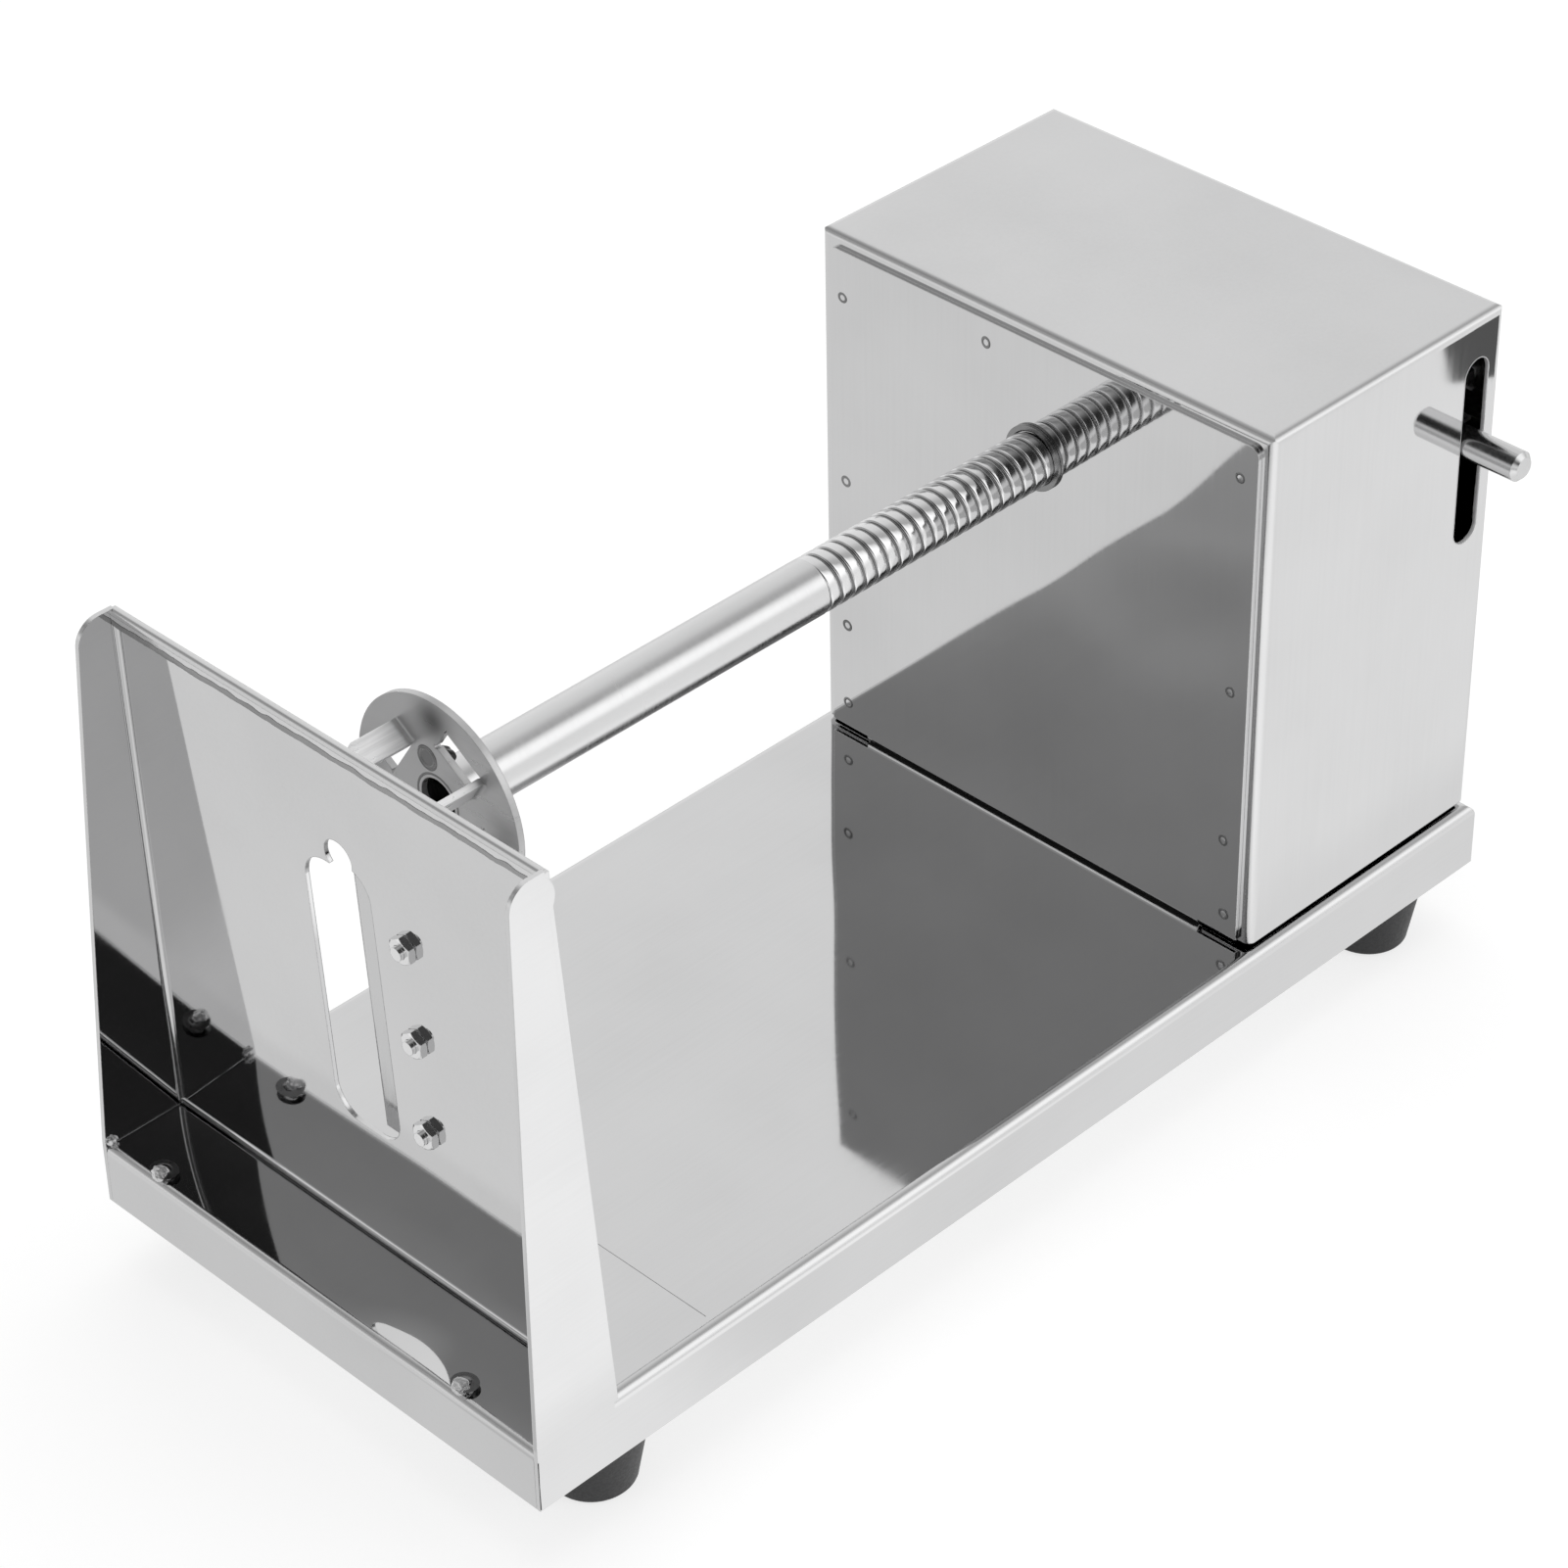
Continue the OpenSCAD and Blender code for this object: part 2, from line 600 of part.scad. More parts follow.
// A panel on the end of the cover, its foot folded over the base; x is its outer face, s the way inwards
module panel(x, s) {
    wall_x = s > 0 ? x : x - cover_t;
    inner_r = panel_bend - cover_t;
    along_x(wall_x, wall_x + cover_t, panel_top_z)
        rounded_top(panel_w, panel_top_z - panel_low_z, panel_r);
    translate([x, 0, top_z]) rotate([0, 0, s > 0 ? 0 : 180]) difference() {
        union() {
            translate([0, -foot_strip_w / 2, panel_bend])
                cube([cover_t, foot_strip_w, panel_low_z - top_z + cover_t - panel_bend]);
            translate([panel_bend, -foot_strip_w / 2, 0])
                cube([panel_foot - panel_bend, foot_strip_w, cover_t]);
            intersection() {
                translate([panel_bend, foot_strip_w / 2, panel_bend]) rotate([90, 0, 0])
                    cylinder(h = foot_strip_w, r = panel_bend, $fn = fine);
                translate([0, -foot_strip_w / 2, 0]) cube([panel_bend, foot_strip_w, panel_bend]);
            }
        }
        translate([panel_bend, foot_strip_w / 2 + e, panel_bend]) rotate([90, 0, 0])
            cylinder(h = foot_strip_w + 2 * e, r = inner_r, $fn = fine);
    }
}

// Clearance holes for the housing's screws i to j, through the thickness t over z
module housing_screw_holes(i, j, z, t) {
    for (k = [i:j]) translate([housing_screw_at[k][0], housing_screw_at[k][1], z - e])
        cylinder(h = t + 2 * e, d = screw_d + 2 * hole_gap, $fn = round_fn);
}

module housing_front_panel() {
    color(steel) difference() {
        panel(box_front_x, 1);
        bar_x(box_front_x - e, box_front_x + cover_t + e, 2 * (bush_r + run_gap), 0, axis_z);
        housing_screw_holes(0, 0, top_z, cover_t);
    }
}

module housing_rear_panel() {
    color(steel) difference() {
        panel(box_rear_x, -1);
        bar_x(box_rear_x - cover_t - e, box_rear_x + e, 2 * (bush_r + run_gap), 0, axis_z);
        for (p = [[pivot_y, pivot_z], [-anchor_y, anchor_z]])
            bar_x(box_rear_x - cover_t - e, box_rear_x + e, screw_d + 2 * hole_gap, p[0], p[1], round_fn);
        housing_screw_holes(1, 2, top_z, cover_t);
    }
}

module housing_screws() {
    color(screw_steel) for (p = housing_screw_at) translate([p[0], p[1], top_z - sheet_t]) mirror([0, 0, 1])
        pan_screw(screw_d, sheet_t + cover_t + nut_h + 1, head_d, head_h);
}

module housing_nuts() {
    color(screw_steel) for (p = housing_screw_at) translate([p[0], p[1], top_z + cover_t])
        hex_nut(screw_d, nut_w, nut_h);
}

// A flanged bush in a panel whose outer face is at x; s is the way inwards, t the outer flange's thickness
module bush(x, s, t) {
    gap = 0.08;
    color(steel) translate([x, 0, axis_z]) rotate([0, 90, 0]) mirror([0, 0, s > 0 ? 0 : 1])
        difference() {
            union() {
                translate([0, 0, -t - gap]) cylinder(h = t, r = bush_flange_r, $fn = fine);
                translate([0, 0, -t]) cylinder(h = cover_t + t + bush_t, r = bush_r, $fn = fine);
                translate([0, 0, cover_t + gap]) cylinder(h = bush_t, r = bush_flange_r, $fn = fine);
            }
            translate([0, 0, -t - bush_t])
                cylinder(h = cover_t + t + 4 * bush_t, d = shaft_d + 2 * run_gap, $fn = fine);
        }
}

module front_bush() {
    bush(box_front_x, 1, bush_t);
}

module rear_bush() {
    bush(box_rear_x, -1, bush_t - 0.2);
}

// A threaded core along X: the land winds round it from turn 0 to the given turn, and the core goes on for
// one plain turn at each end, where it lies inside the parts that it joins
module threaded_core(r0, r1, w, p, turns, steps) {
    n = ceil((turns + 2) * steps);
    fade = steps / 4;
    profile = [[0, -w / 2], [1, -0.44 * w], [1, 0.44 * w], [0, w / 2]];
    rings = [for (i = [0:n]) let (a = 360 * i / steps - 360, f = min(1, i / fade, (n - i) / fade))
        for (q = profile) let (r = r0 + (r1 - r0) * f * q[0]) [p * a / 360 + q[1], r * cos(a), r * sin(a)]];
    flanks = [for (i = [0:n - 1], j = [0:2]) let (a = 4 * i + j)
        each [[a, a + 1, a + 4], [a + 1, a + 5, a + 4]]];
    grooves = [for (i = [0:n - 1 - steps]) let (a = 4 * i + 3, b = 4 * (i + steps))
        each [[a, b, a + 4], [b, b + 4, a + 4]]];
    start = concat([for (i = [0:steps]) 4 * i], [3, 2, 1]);
    end = concat([for (j = [0:3]) 4 * n + j], [for (i = [1:steps]) 4 * (n - i) + 3]);
    c = len(rings);
    caps = concat([for (i = [0:len(start) - 1]) [start[i], start[(i + 1) % len(start)], c]],
        [for (i = [0:len(end) - 1]) [end[i], end[(i + 1) % len(end)], c + 1]]);
    polyhedron(concat(rings, [[rings[0][0], 0, 0], [rings[c - 1][0], 0, 0]]), concat(flanks, grooves, caps));
}

module screw_shaft() {
    crest_r = shaft_d / 2 - 0.03; // the lands' corners lie just inside the tube's surface
    color(steel) translate([0, 0, axis_z]) difference() {
        union() {
            bar_x(tube_x, thread_x0, shaft_d);
            translate([thread_x0, 0, 0])
                threaded_core(root_r, crest_r, land_w, thread_pitch, thread_turns, thread_steps);
            bar_x(thread_x1, tail_x, shaft_d);
        }
        bar_x(tube_x - e, tail_x + e, bore_d);
    }
}

// Turns a shape about the shaft, to the crank's direction at rest: y is then outwards along the arm
module to_crank() {
    translate([0, 0, axis_z]) rotate([crank_angle, 0, 0]) children();
}

// A prong bent out of its window: the bend at the window's end, then the prong itself
module prong() {
    bend = prong_r + disc_t;
    x = disc_x - prong_r;
    z = window_l / 2;
    difference() {
        intersection() {
            translate([x, window_in, z]) rotate([-90, 0, 0]) cylinder(h = window_w, r = bend, $fn = fine);
            translate([x, window_in, z - bend]) cube([bend, window_w, bend + 0.02]);
        }
        translate([x, window_in - e, z]) rotate([-90, 0, 0])
            cylinder(h = window_w + 2 * e, r = prong_r, $fn = fine);
    }
    translate([0, window_in, z - bend]) linear_extrude(disc_t)
        polygon([[x + 0.01, 0], [x + 0.01, window_w], [disc_x - 0.72 * prong_l, window_w],
            [disc_x - prong_l, 0.3 * window_w], [disc_x - 0.86 * prong_l, 0]]);
}

module claw_disc() {
    color(steel) to_crank() {
        difference() {
            bar_x(disc_x, disc_x + disc_t, disc_d);
            bar_x(disc_x - e, disc_x + disc_t + e, bore_d);
            for (i = [0:3]) rotate([claw_turn + 90 * i, 0, 0])
                translate([disc_x - e, window_in, -window_l / 2]) cube([disc_t + 2 * e, window_w, window_l]);
            for (i = [0:3], y = [window_in, window_in + window_w]) rotate([claw_turn + 90 * i, 0, 0])
                bar_x(disc_x - e, disc_x + disc_t + e, relief_d, y, -window_l / 2, round_fn);
        }
        for (i = [0:3]) rotate([claw_turn + 90 * i, 0, 0]) prong();
    }
}

// The crank arm is a flat bar of waisted outline, bent twice so that the handle clears the housing
module crank_arm() {
    bend0 = hub_r - 1.5;
    bend1 = crank_r - arm_end_r;
    w = 2 * max(hub_r, arm_end_r) + 2;
    l = arm_rise + arm_t + 2;
    color(steel) to_crank() difference() {
        intersection() {
            translate([0, 0, -w / 2]) linear_extrude(w)
                polygon([[hub_x, -hub_r - 1], [hub_x, bend0], [hub_x + arm_rise, bend1],
                    [hub_x + arm_rise, crank_r + w], [arm_face_x, crank_r + w], [arm_face_x, bend1 - 0.3],
                    [hub_x + arm_t, bend0 - 0.3], [hub_x + arm_t, -hub_r - 1]]);
            union() {
                bar_x(hub_x - 1, hub_x - 1 + l, 2 * hub_r);
                bar_x(hub_x - 1, hub_x - 1 + l, 2 * arm_end_r, crank_r, 0);
                translate([hub_x - 1, 0, 0]) rotate([90, 0, 90]) linear_extrude(l)
                    polygon([[1, hub_r - 0.1], [0.4 * crank_r, neck_w / 2], [crank_r - 1, arm_end_r - 0.1],
                        [crank_r - 1, 0.1 - arm_end_r], [0.4 * crank_r, -neck_w / 2], [1, 0.1 - hub_r]]);
            }
        }
        bar_x(hub_x - e, hub_x + arm_t + e, shaft_d + 2 * weld_gap);
        bar_x(arm_face_x - arm_t - e, arm_face_x + e, grip_bolt_d + 2 * hole_gap, crank_r, 0, round_fn);
    }
}

module at_handle(x) {
    to_crank() translate([x, crank_r, 0]) rotate([0, 90, 0]) children();
}

handle_nut_h = 0.75 * grip_bolt_d;

// The bolt that the grip turns on: a domed head beyond the grip, and its end in the nut behind the arm
module handle_bolt() {
    r = cap_d / 2;
    rim = 0.6;
    color(screw_steel) at_handle(0) {
        translate([0, 0, arm_face_x - arm_t - handle_nut_h - 0.6])
            cylinder(h = grip_end_x - arm_face_x + arm_t + handle_nut_h + 1.2, d = grip_bolt_d, $fn = fine);
        translate([0, 0, grip_end_x + 0.3]) rotate_extrude($fn = fine)
            polygon(concat([[0, 0], [r, 0]],
                [for (a = [0:9:81]) [r * cos(a), rim + cap_h * sin(a)]], [[0, rim + cap_h]]));
    }
}

module handle_nut() {
    color(screw_steel) at_handle(arm_face_x - arm_t - handle_nut_h)
        hex_nut(grip_bolt_d, 1.67 * grip_bolt_d, handle_nut_h);
}

// The grip's radius a fraction t along it: a swell near the arm and a long taper to the tip
function grip_r(t) = let (r0 = grip_d / 2, r1 = grip_tip_d / 2)
    t < 0.2 ? r0 - (r0 - r1) * 0.12 * pow((0.2 - t) / 0.2, 2)
    : r0 - (r0 - r1) * (1 - cos(180 * min(1, (t - 0.2) / 0.86))) / 2 / 0.95;

module handle_grip() {
    n = 12;
    bore = grip_bolt_d / 2 + run_gap;
    rim = 0.8;
    color(black_plastic) at_handle(grip_x) rotate_extrude($fn = fine)
        polygon(concat([[bore, 0], [grip_r(0) - rim, 0]],
            [for (i = [0:n]) [grip_r(i / n), rim + (grip_l - 2 * rim) * i / n]],
            [[grip_r(1) - rim, grip_l], [bore, grip_l]]));
}

// The lever's bar in the YZ plane, from its pivot over the shaft and down to the release pin
module lever_outline() {
    ry = pivot_y;
    tip = lever_h / 2 + 0.6;
    polygon([[ry, pivot_z - lever_h / 2], [ry, pivot_z + lever_h / 2], [shaft_d, lever_mid_z + lever_h / 2],
        [-shaft_d, lever_mid_z + lever_h / 2], [lever_tip_y, axis_z + tip], [lever_tip_y, axis_z - tip],
        [-half_nut_w, lever_mid_z - lever_h / 2], [shaft_d, lever_mid_z - lever_h / 2]]);
    translate([ry, pivot_z]) circle(d = lever_h, $fn = fine);
    translate([-anchor_y, post_z]) circle(d = lever_h - 1, $fn = round_fn);
}

half_nut_screw_y = half_nut_w / 2 - 3.5;
half_nut_top_z = lever_mid_z + lever_h / 2 - 1;
half_nut_screw_z = lever_mid_z;

module release_lever() {
    color(dark_steel) difference() {
        along_x(lever_front_x, lever_back_x, 0) lever_outline();
        bar_x(lever_front_x - e, lever_back_x + e, screw_d + 2 * run_gap, pivot_y, pivot_z);
        bar_x(lever_front_x - e, lever_back_x + e, post_d + 2 * weld_gap, -anchor_y, post_z, round_fn);
        for (s = [-1, 1])
            bar_x(lever_front_x - e, lever_back_x + e, small_screw_d + 2 * hole_gap,
                s * half_nut_screw_y, half_nut_screw_z, round_fn);
    }
}

module release_pin() {
    chamfer = 1;
    l = pin_out + box_w / 2 + lever_tip_y;
    color(screw_steel) translate([lever_x, lever_tip_y, axis_z]) rotate([90, 0, 0]) {
        cylinder(h = l - chamfer, d = pin_d, $fn = fine);
        translate([0, 0, l - chamfer])
            cylinder(h = chamfer, d1 = pin_d, d2 = pin_d - 2 * chamfer, $fn = fine);
    }
}

nut_x0 = lever_front_x - half_nut_l;
ridge_k0 = ceil((nut_x0 + 0.6 - thread_x0) / thread_pitch - 0.5 - 45 / 360);
ridges = floor((thread_x1 - 0.6 - thread_x0) / thread_pitch - 0.5 - 135 / 360) - ridge_k0 + 1;

// The half nut that hangs on the thread, with the ridges that lie in the shaft's groove
module half_nut() {
    bore_r = shaft_d / 2 + 0.15;
    reach = 0.45;
    color(dark_steel) {
        difference() {
            translate([nut_x0, -half_nut_w / 2, axis_z + half_nut_low])
                cube([half_nut_l, half_nut_w, half_nut_top_z - axis_z - half_nut_low]);
            bar_x(nut_x0 - e, lever_front_x + e, 2 * bore_r, 0, axis_z);
            for (s = [-1, 1]) bar_x(nut_x0 + 3, lever_front_x + e, small_screw_d + 2 * thread_gap,
                s * half_nut_screw_y, half_nut_screw_z, round_fn);
        }
        for (k = [0:ridges - 1]) translate([thread_x0 + thread_pitch * (ridge_k0 + k + 0.5), 0, axis_z])
            helix_sweep([[bore_r - reach, -0.3], [bore_r + 0.2, -0.5], [bore_r + 0.2, 0.5],
                [bore_r - reach, 0.3]], thread_pitch, 45, 135, 40);
    }
}

module half_nut_screws() {
    color(screw_steel) for (s = [-1, 1])
        translate([lever_back_x, s * half_nut_screw_y, half_nut_screw_z]) rotate([0, 90, 0])
            pan_screw(small_screw_d, lever_t + half_nut_l - 4, small_head_d, small_head_h);
}

post_d = small_screw_d;

// The headed pin on the lever that carries the spring's upper hook
module spring_post() {
    color(screw_steel) {
        bar_x(spring_x - wire_d, lever_back_x, post_d, -anchor_y, post_z, round_fn);
        bar_x(spring_x - wire_d - 1, spring_x - wire_d, post_d + 2.6, -anchor_y, post_z, round_fn);
    }
}

// One of the spring's hooks: a ring round the post or the anchor, and a stem to the coil's end
module spring_hook(z, s, r, l) {
    translate([spring_x, -anchor_y, z]) {
        rotate([0, 90, 0]) rotate_extrude($fn = round_fn) translate([r, 0]) circle(d = wire_d, $fn = 16);
        mirror([0, 0, s > 0 ? 0 : 1]) {
            translate([0, 0, r]) cylinder(h = l, d = wire_d, $fn = 16);
            translate([0, 0, r + l]) sphere(d = wire_d, $fn = 16);
            translate([0, 0, r + l]) rotate([-90, 0, 0]) cylinder(h = coil_d / 2, d = wire_d, $fn = 16);
        }
    }
}

top_hook_r = post_d / 2 + 0.3 + wire_d / 2;
stem_l = 3;
coil_z0 = anchor_z + hook_r + stem_l;
coil_z1 = post_z - top_hook_r - stem_l;
coil_pitch = (coil_z1 - coil_z0) / coil_turns;
echo(gap_between_turns = coil_pitch - wire_d);

module release_spring() {
    color(dark_steel) {
        translate([spring_x, -anchor_y, coil_z0]) rotate([0, -90, 0])
            helix_sweep([for (a = [0:60:300]) [coil_d / 2 + wire_d / 2 * cos(a), wire_d / 2 * sin(a)]],
                coil_pitch, 0, 360 * coil_turns, 12);
        spring_hook(anchor_z, 1, hook_r, stem_l);
        spring_hook(post_z, -1, top_hook_r, stem_l);
    }
}

module lever_pivot_screw() {
    color(screw_steel) translate([box_rear_x, pivot_y, pivot_z]) rotate([0, 90, 0])
        pan_screw(screw_d, box_rear_x - lever_front_x + nut_h + 1, head_d, head_h);
}

module pivot_spacer() {
    color(dark_steel) difference() {
        bar_x(lever_back_x + 0.1, box_rear_x - cover_t, 2 * screw_d, pivot_y, pivot_z);
        bar_x(lever_back_x, box_rear_x, screw_d + 2 * hole_gap, pivot_y, pivot_z, round_fn);
    }
}

module pivot_nut() {
    color(screw_steel) translate([lever_front_x - 0.1 - nut_h, pivot_y, pivot_z]) rotate([0, 90, 0])
        hex_nut(screw_d, nut_w, nut_h);
}

module spring_anchor_screw() {
    color(screw_steel) translate([box_rear_x, -anchor_y, anchor_z]) rotate([0, 90, 0])
        pan_screw(screw_d, box_rear_x - spring_x + 2, head_d, head_h);
}

module spring_anchor_nut() {
    color(screw_steel) translate([box_rear_x - cover_t - nut_h, -anchor_y, anchor_z]) rotate([0, 90, 0])
        hex_nut(screw_d, nut_w, nut_h);
}

base_frame();
front_tray();
foot_bracket(-1, 1);  // foot_bracket_front_left
foot_bracket(-1, -1);  // foot_bracket_front_right
foot_bracket(1, 1);  // foot_bracket_rear_left
foot_bracket(1, -1);  // foot_bracket_rear_right
foot(-1, 1);  // foot_front_left
foot(-1, -1);  // foot_front_right
foot(1, 1);  // foot_rear_left
foot(1, -1);  // foot_rear_right
foot_screws();
foot_nuts();
blade();
blade_screws();
blade_nuts();
housing_cover();
housing_front_panel();
housing_rear_panel();
housing_screws();
housing_nuts();
front_bush();
rear_bush();
screw_shaft();
claw_disc();
crank_arm();
handle_bolt();
handle_grip();
handle_nut();
release_lever();
release_pin();
half_nut();
half_nut_screws();
spring_post();
release_spring();
lever_pivot_screw();
pivot_spacer();
pivot_nut();
spring_anchor_screw();
spring_anchor_nut();
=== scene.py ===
"""Looks of the spiral potato cutter: mirror-bright folded sheet, brushed shaft, black grip and feet."""
from math import atan, cos, pi, radians, sin, tau
import bpy
import bmesh
from mathutils import Matrix, Vector, noise


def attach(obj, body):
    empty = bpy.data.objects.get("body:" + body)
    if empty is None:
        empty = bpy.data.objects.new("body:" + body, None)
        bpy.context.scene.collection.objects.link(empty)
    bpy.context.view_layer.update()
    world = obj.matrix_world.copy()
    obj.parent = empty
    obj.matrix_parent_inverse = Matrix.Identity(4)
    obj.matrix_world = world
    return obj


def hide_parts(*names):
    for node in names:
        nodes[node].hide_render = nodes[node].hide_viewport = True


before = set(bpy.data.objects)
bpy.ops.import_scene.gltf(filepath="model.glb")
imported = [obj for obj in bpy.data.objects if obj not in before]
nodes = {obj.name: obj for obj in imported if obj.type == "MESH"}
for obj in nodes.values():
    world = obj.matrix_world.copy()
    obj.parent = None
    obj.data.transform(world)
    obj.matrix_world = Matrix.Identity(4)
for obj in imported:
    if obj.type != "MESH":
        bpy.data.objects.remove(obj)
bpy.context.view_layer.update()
scene = bpy.context.scene

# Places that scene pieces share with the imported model, in metres
BASE_TOP = 0.0315
AXIS_Z = 0.1286
FRONT_PANEL = 0.0632
REAR_PANEL = 0.1384
DISC_X = -0.103
LIP_X = -0.144
FOLD_X = -0.124
SIDE_Y = 0.065
SHEET = 0.001
# The blade plate: its height, how far it leans forward over that, and how much narrower each side becomes
PLATE_H, PLATE_LEAN, PLATE_TAPER = 0.1265, 0.0057, 0.0048
SLOT_X, SLOT_LOW, SLOT_TOP, SLOT_R = 0.1293, 0.1079, 0.1455, 0.0038
CRANK = radians(-85)
CRANK_R = 0.052
# On the claw disc, from its axis: the painted shade beside the prong bends and how far it reaches, the plug,
# and the bead behind the disc
BEND_SHADE_R, BEND_SHADE_REACH = 0.0182, 0.0043
PLUG_R, PLUG_TURN = 0.009, radians(75)
BEAD_R, BEAD_TURN = 0.008, radians(84)


# ---------------------------------------------------------------- materials

class Nodes:
    """A small helper that adds nodes to one tree and joins them."""

    def __init__(self, tree):
        self.tree = tree
        self.row = 0

    def add(self, kind, **values):
        n = self.tree.nodes.new(kind)
        n.location = (-220 * (self.row % 9) - 200, 160 - 190 * (self.row // 9))
        self.row += 1
        for key, value in values.items():
            setattr(n, key, value)
        return n

    def join(self, out, into):
        self.tree.links.new(out, into)

    def math(self, op, a, b=None):
        n = self.add("ShaderNodeMath", operation=op)
        for socket, value in zip(n.inputs, (a, b)):
            if value is None:
                continue
            if isinstance(value, (int, float)):
                socket.default_value = value
            else:
                self.join(value, socket)
        return n.outputs[0]

    def remap(self, value, a, b, lo=0.0, hi=1.0, smooth=True):
        n = self.add("ShaderNodeMapRange", interpolation_type="SMOOTHSTEP" if smooth else "LINEAR")
        self.join(value, n.inputs["Value"])
        for key, v in (("From Min", a), ("From Max", b), ("To Min", lo), ("To Max", hi)):
            n.inputs[key].default_value = v
        return n.outputs["Result"]

    def blend(self, a, b, t):
        """a at t = 0, b at t = 1."""
        n = self.add("ShaderNodeMix", data_type="FLOAT")
        for key, value in ((0, t), (2, a), (3, b)):
            if isinstance(value, (int, float)):
                n.inputs[key].default_value = value
            else:
                self.join(value, n.inputs[key])
        return n.outputs[0]

    def noise(self, scale, stretch=(1, 1, 1), detail=2.0, rough=0.5):
        place = self.add("ShaderNodeTexCoord")
        mapping = self.add("ShaderNodeMapping")
        mapping.inputs["Scale"].default_value = stretch
        tex = self.add("ShaderNodeTexNoise")
        tex.inputs["Scale"].default_value = scale
        tex.inputs["Detail"].default_value = detail
        tex.inputs["Roughness"].default_value = rough
        self.join(place.outputs["Object"], mapping.inputs["Vector"])
        self.join(mapping.outputs["Vector"], tex.inputs["Vector"])
        return tex.outputs["Fac"]

    def off_axis(self):
        """0 on faces along an axis, more where a fold turns."""
        split = self.add("ShaderNodeSeparateXYZ")
        self.join(self.add("ShaderNodeTexCoord").outputs["Normal"], split.inputs[0])
        a, b, c = (self.math("ABSOLUTE", out) for out in split.outputs)
        return self.math("SUBTRACT", 1.0, self.math("MAXIMUM", a, self.math("MAXIMUM", b, c)))

    def ramp(self, value, stops):
        n = self.add("ShaderNodeValToRGB")
        while len(n.color_ramp.elements) < len(stops):
            n.color_ramp.elements.new(0.5)
        for element, (at, colour) in zip(n.color_ramp.elements, stops):
            element.position = at
            element.color = (*colour, 1)
        self.join(value, n.inputs["Fac"])
        return n.outputs["Color"]

    def bump(self, height, distance, strength=1.0, normal=None):
        n = self.add("ShaderNodeBump")
        n.inputs["Strength"].default_value = strength
        n.inputs["Distance"].default_value = distance
        self.join(height, n.inputs["Height"])
        if normal is not None:
            self.join(normal, n.inputs["Normal"])
        return n.outputs["Normal"]


def new_material(name):
    """A material with its node helper and its shader."""
    m = bpy.data.materials.new(name)
    m.use_nodes = True
    return m, Nodes(m.node_tree), m.node_tree.nodes["Principled BSDF"]


def grey(v):
    """The faintly cool grey of bare steel."""
    return (v, v, v * 1.004)


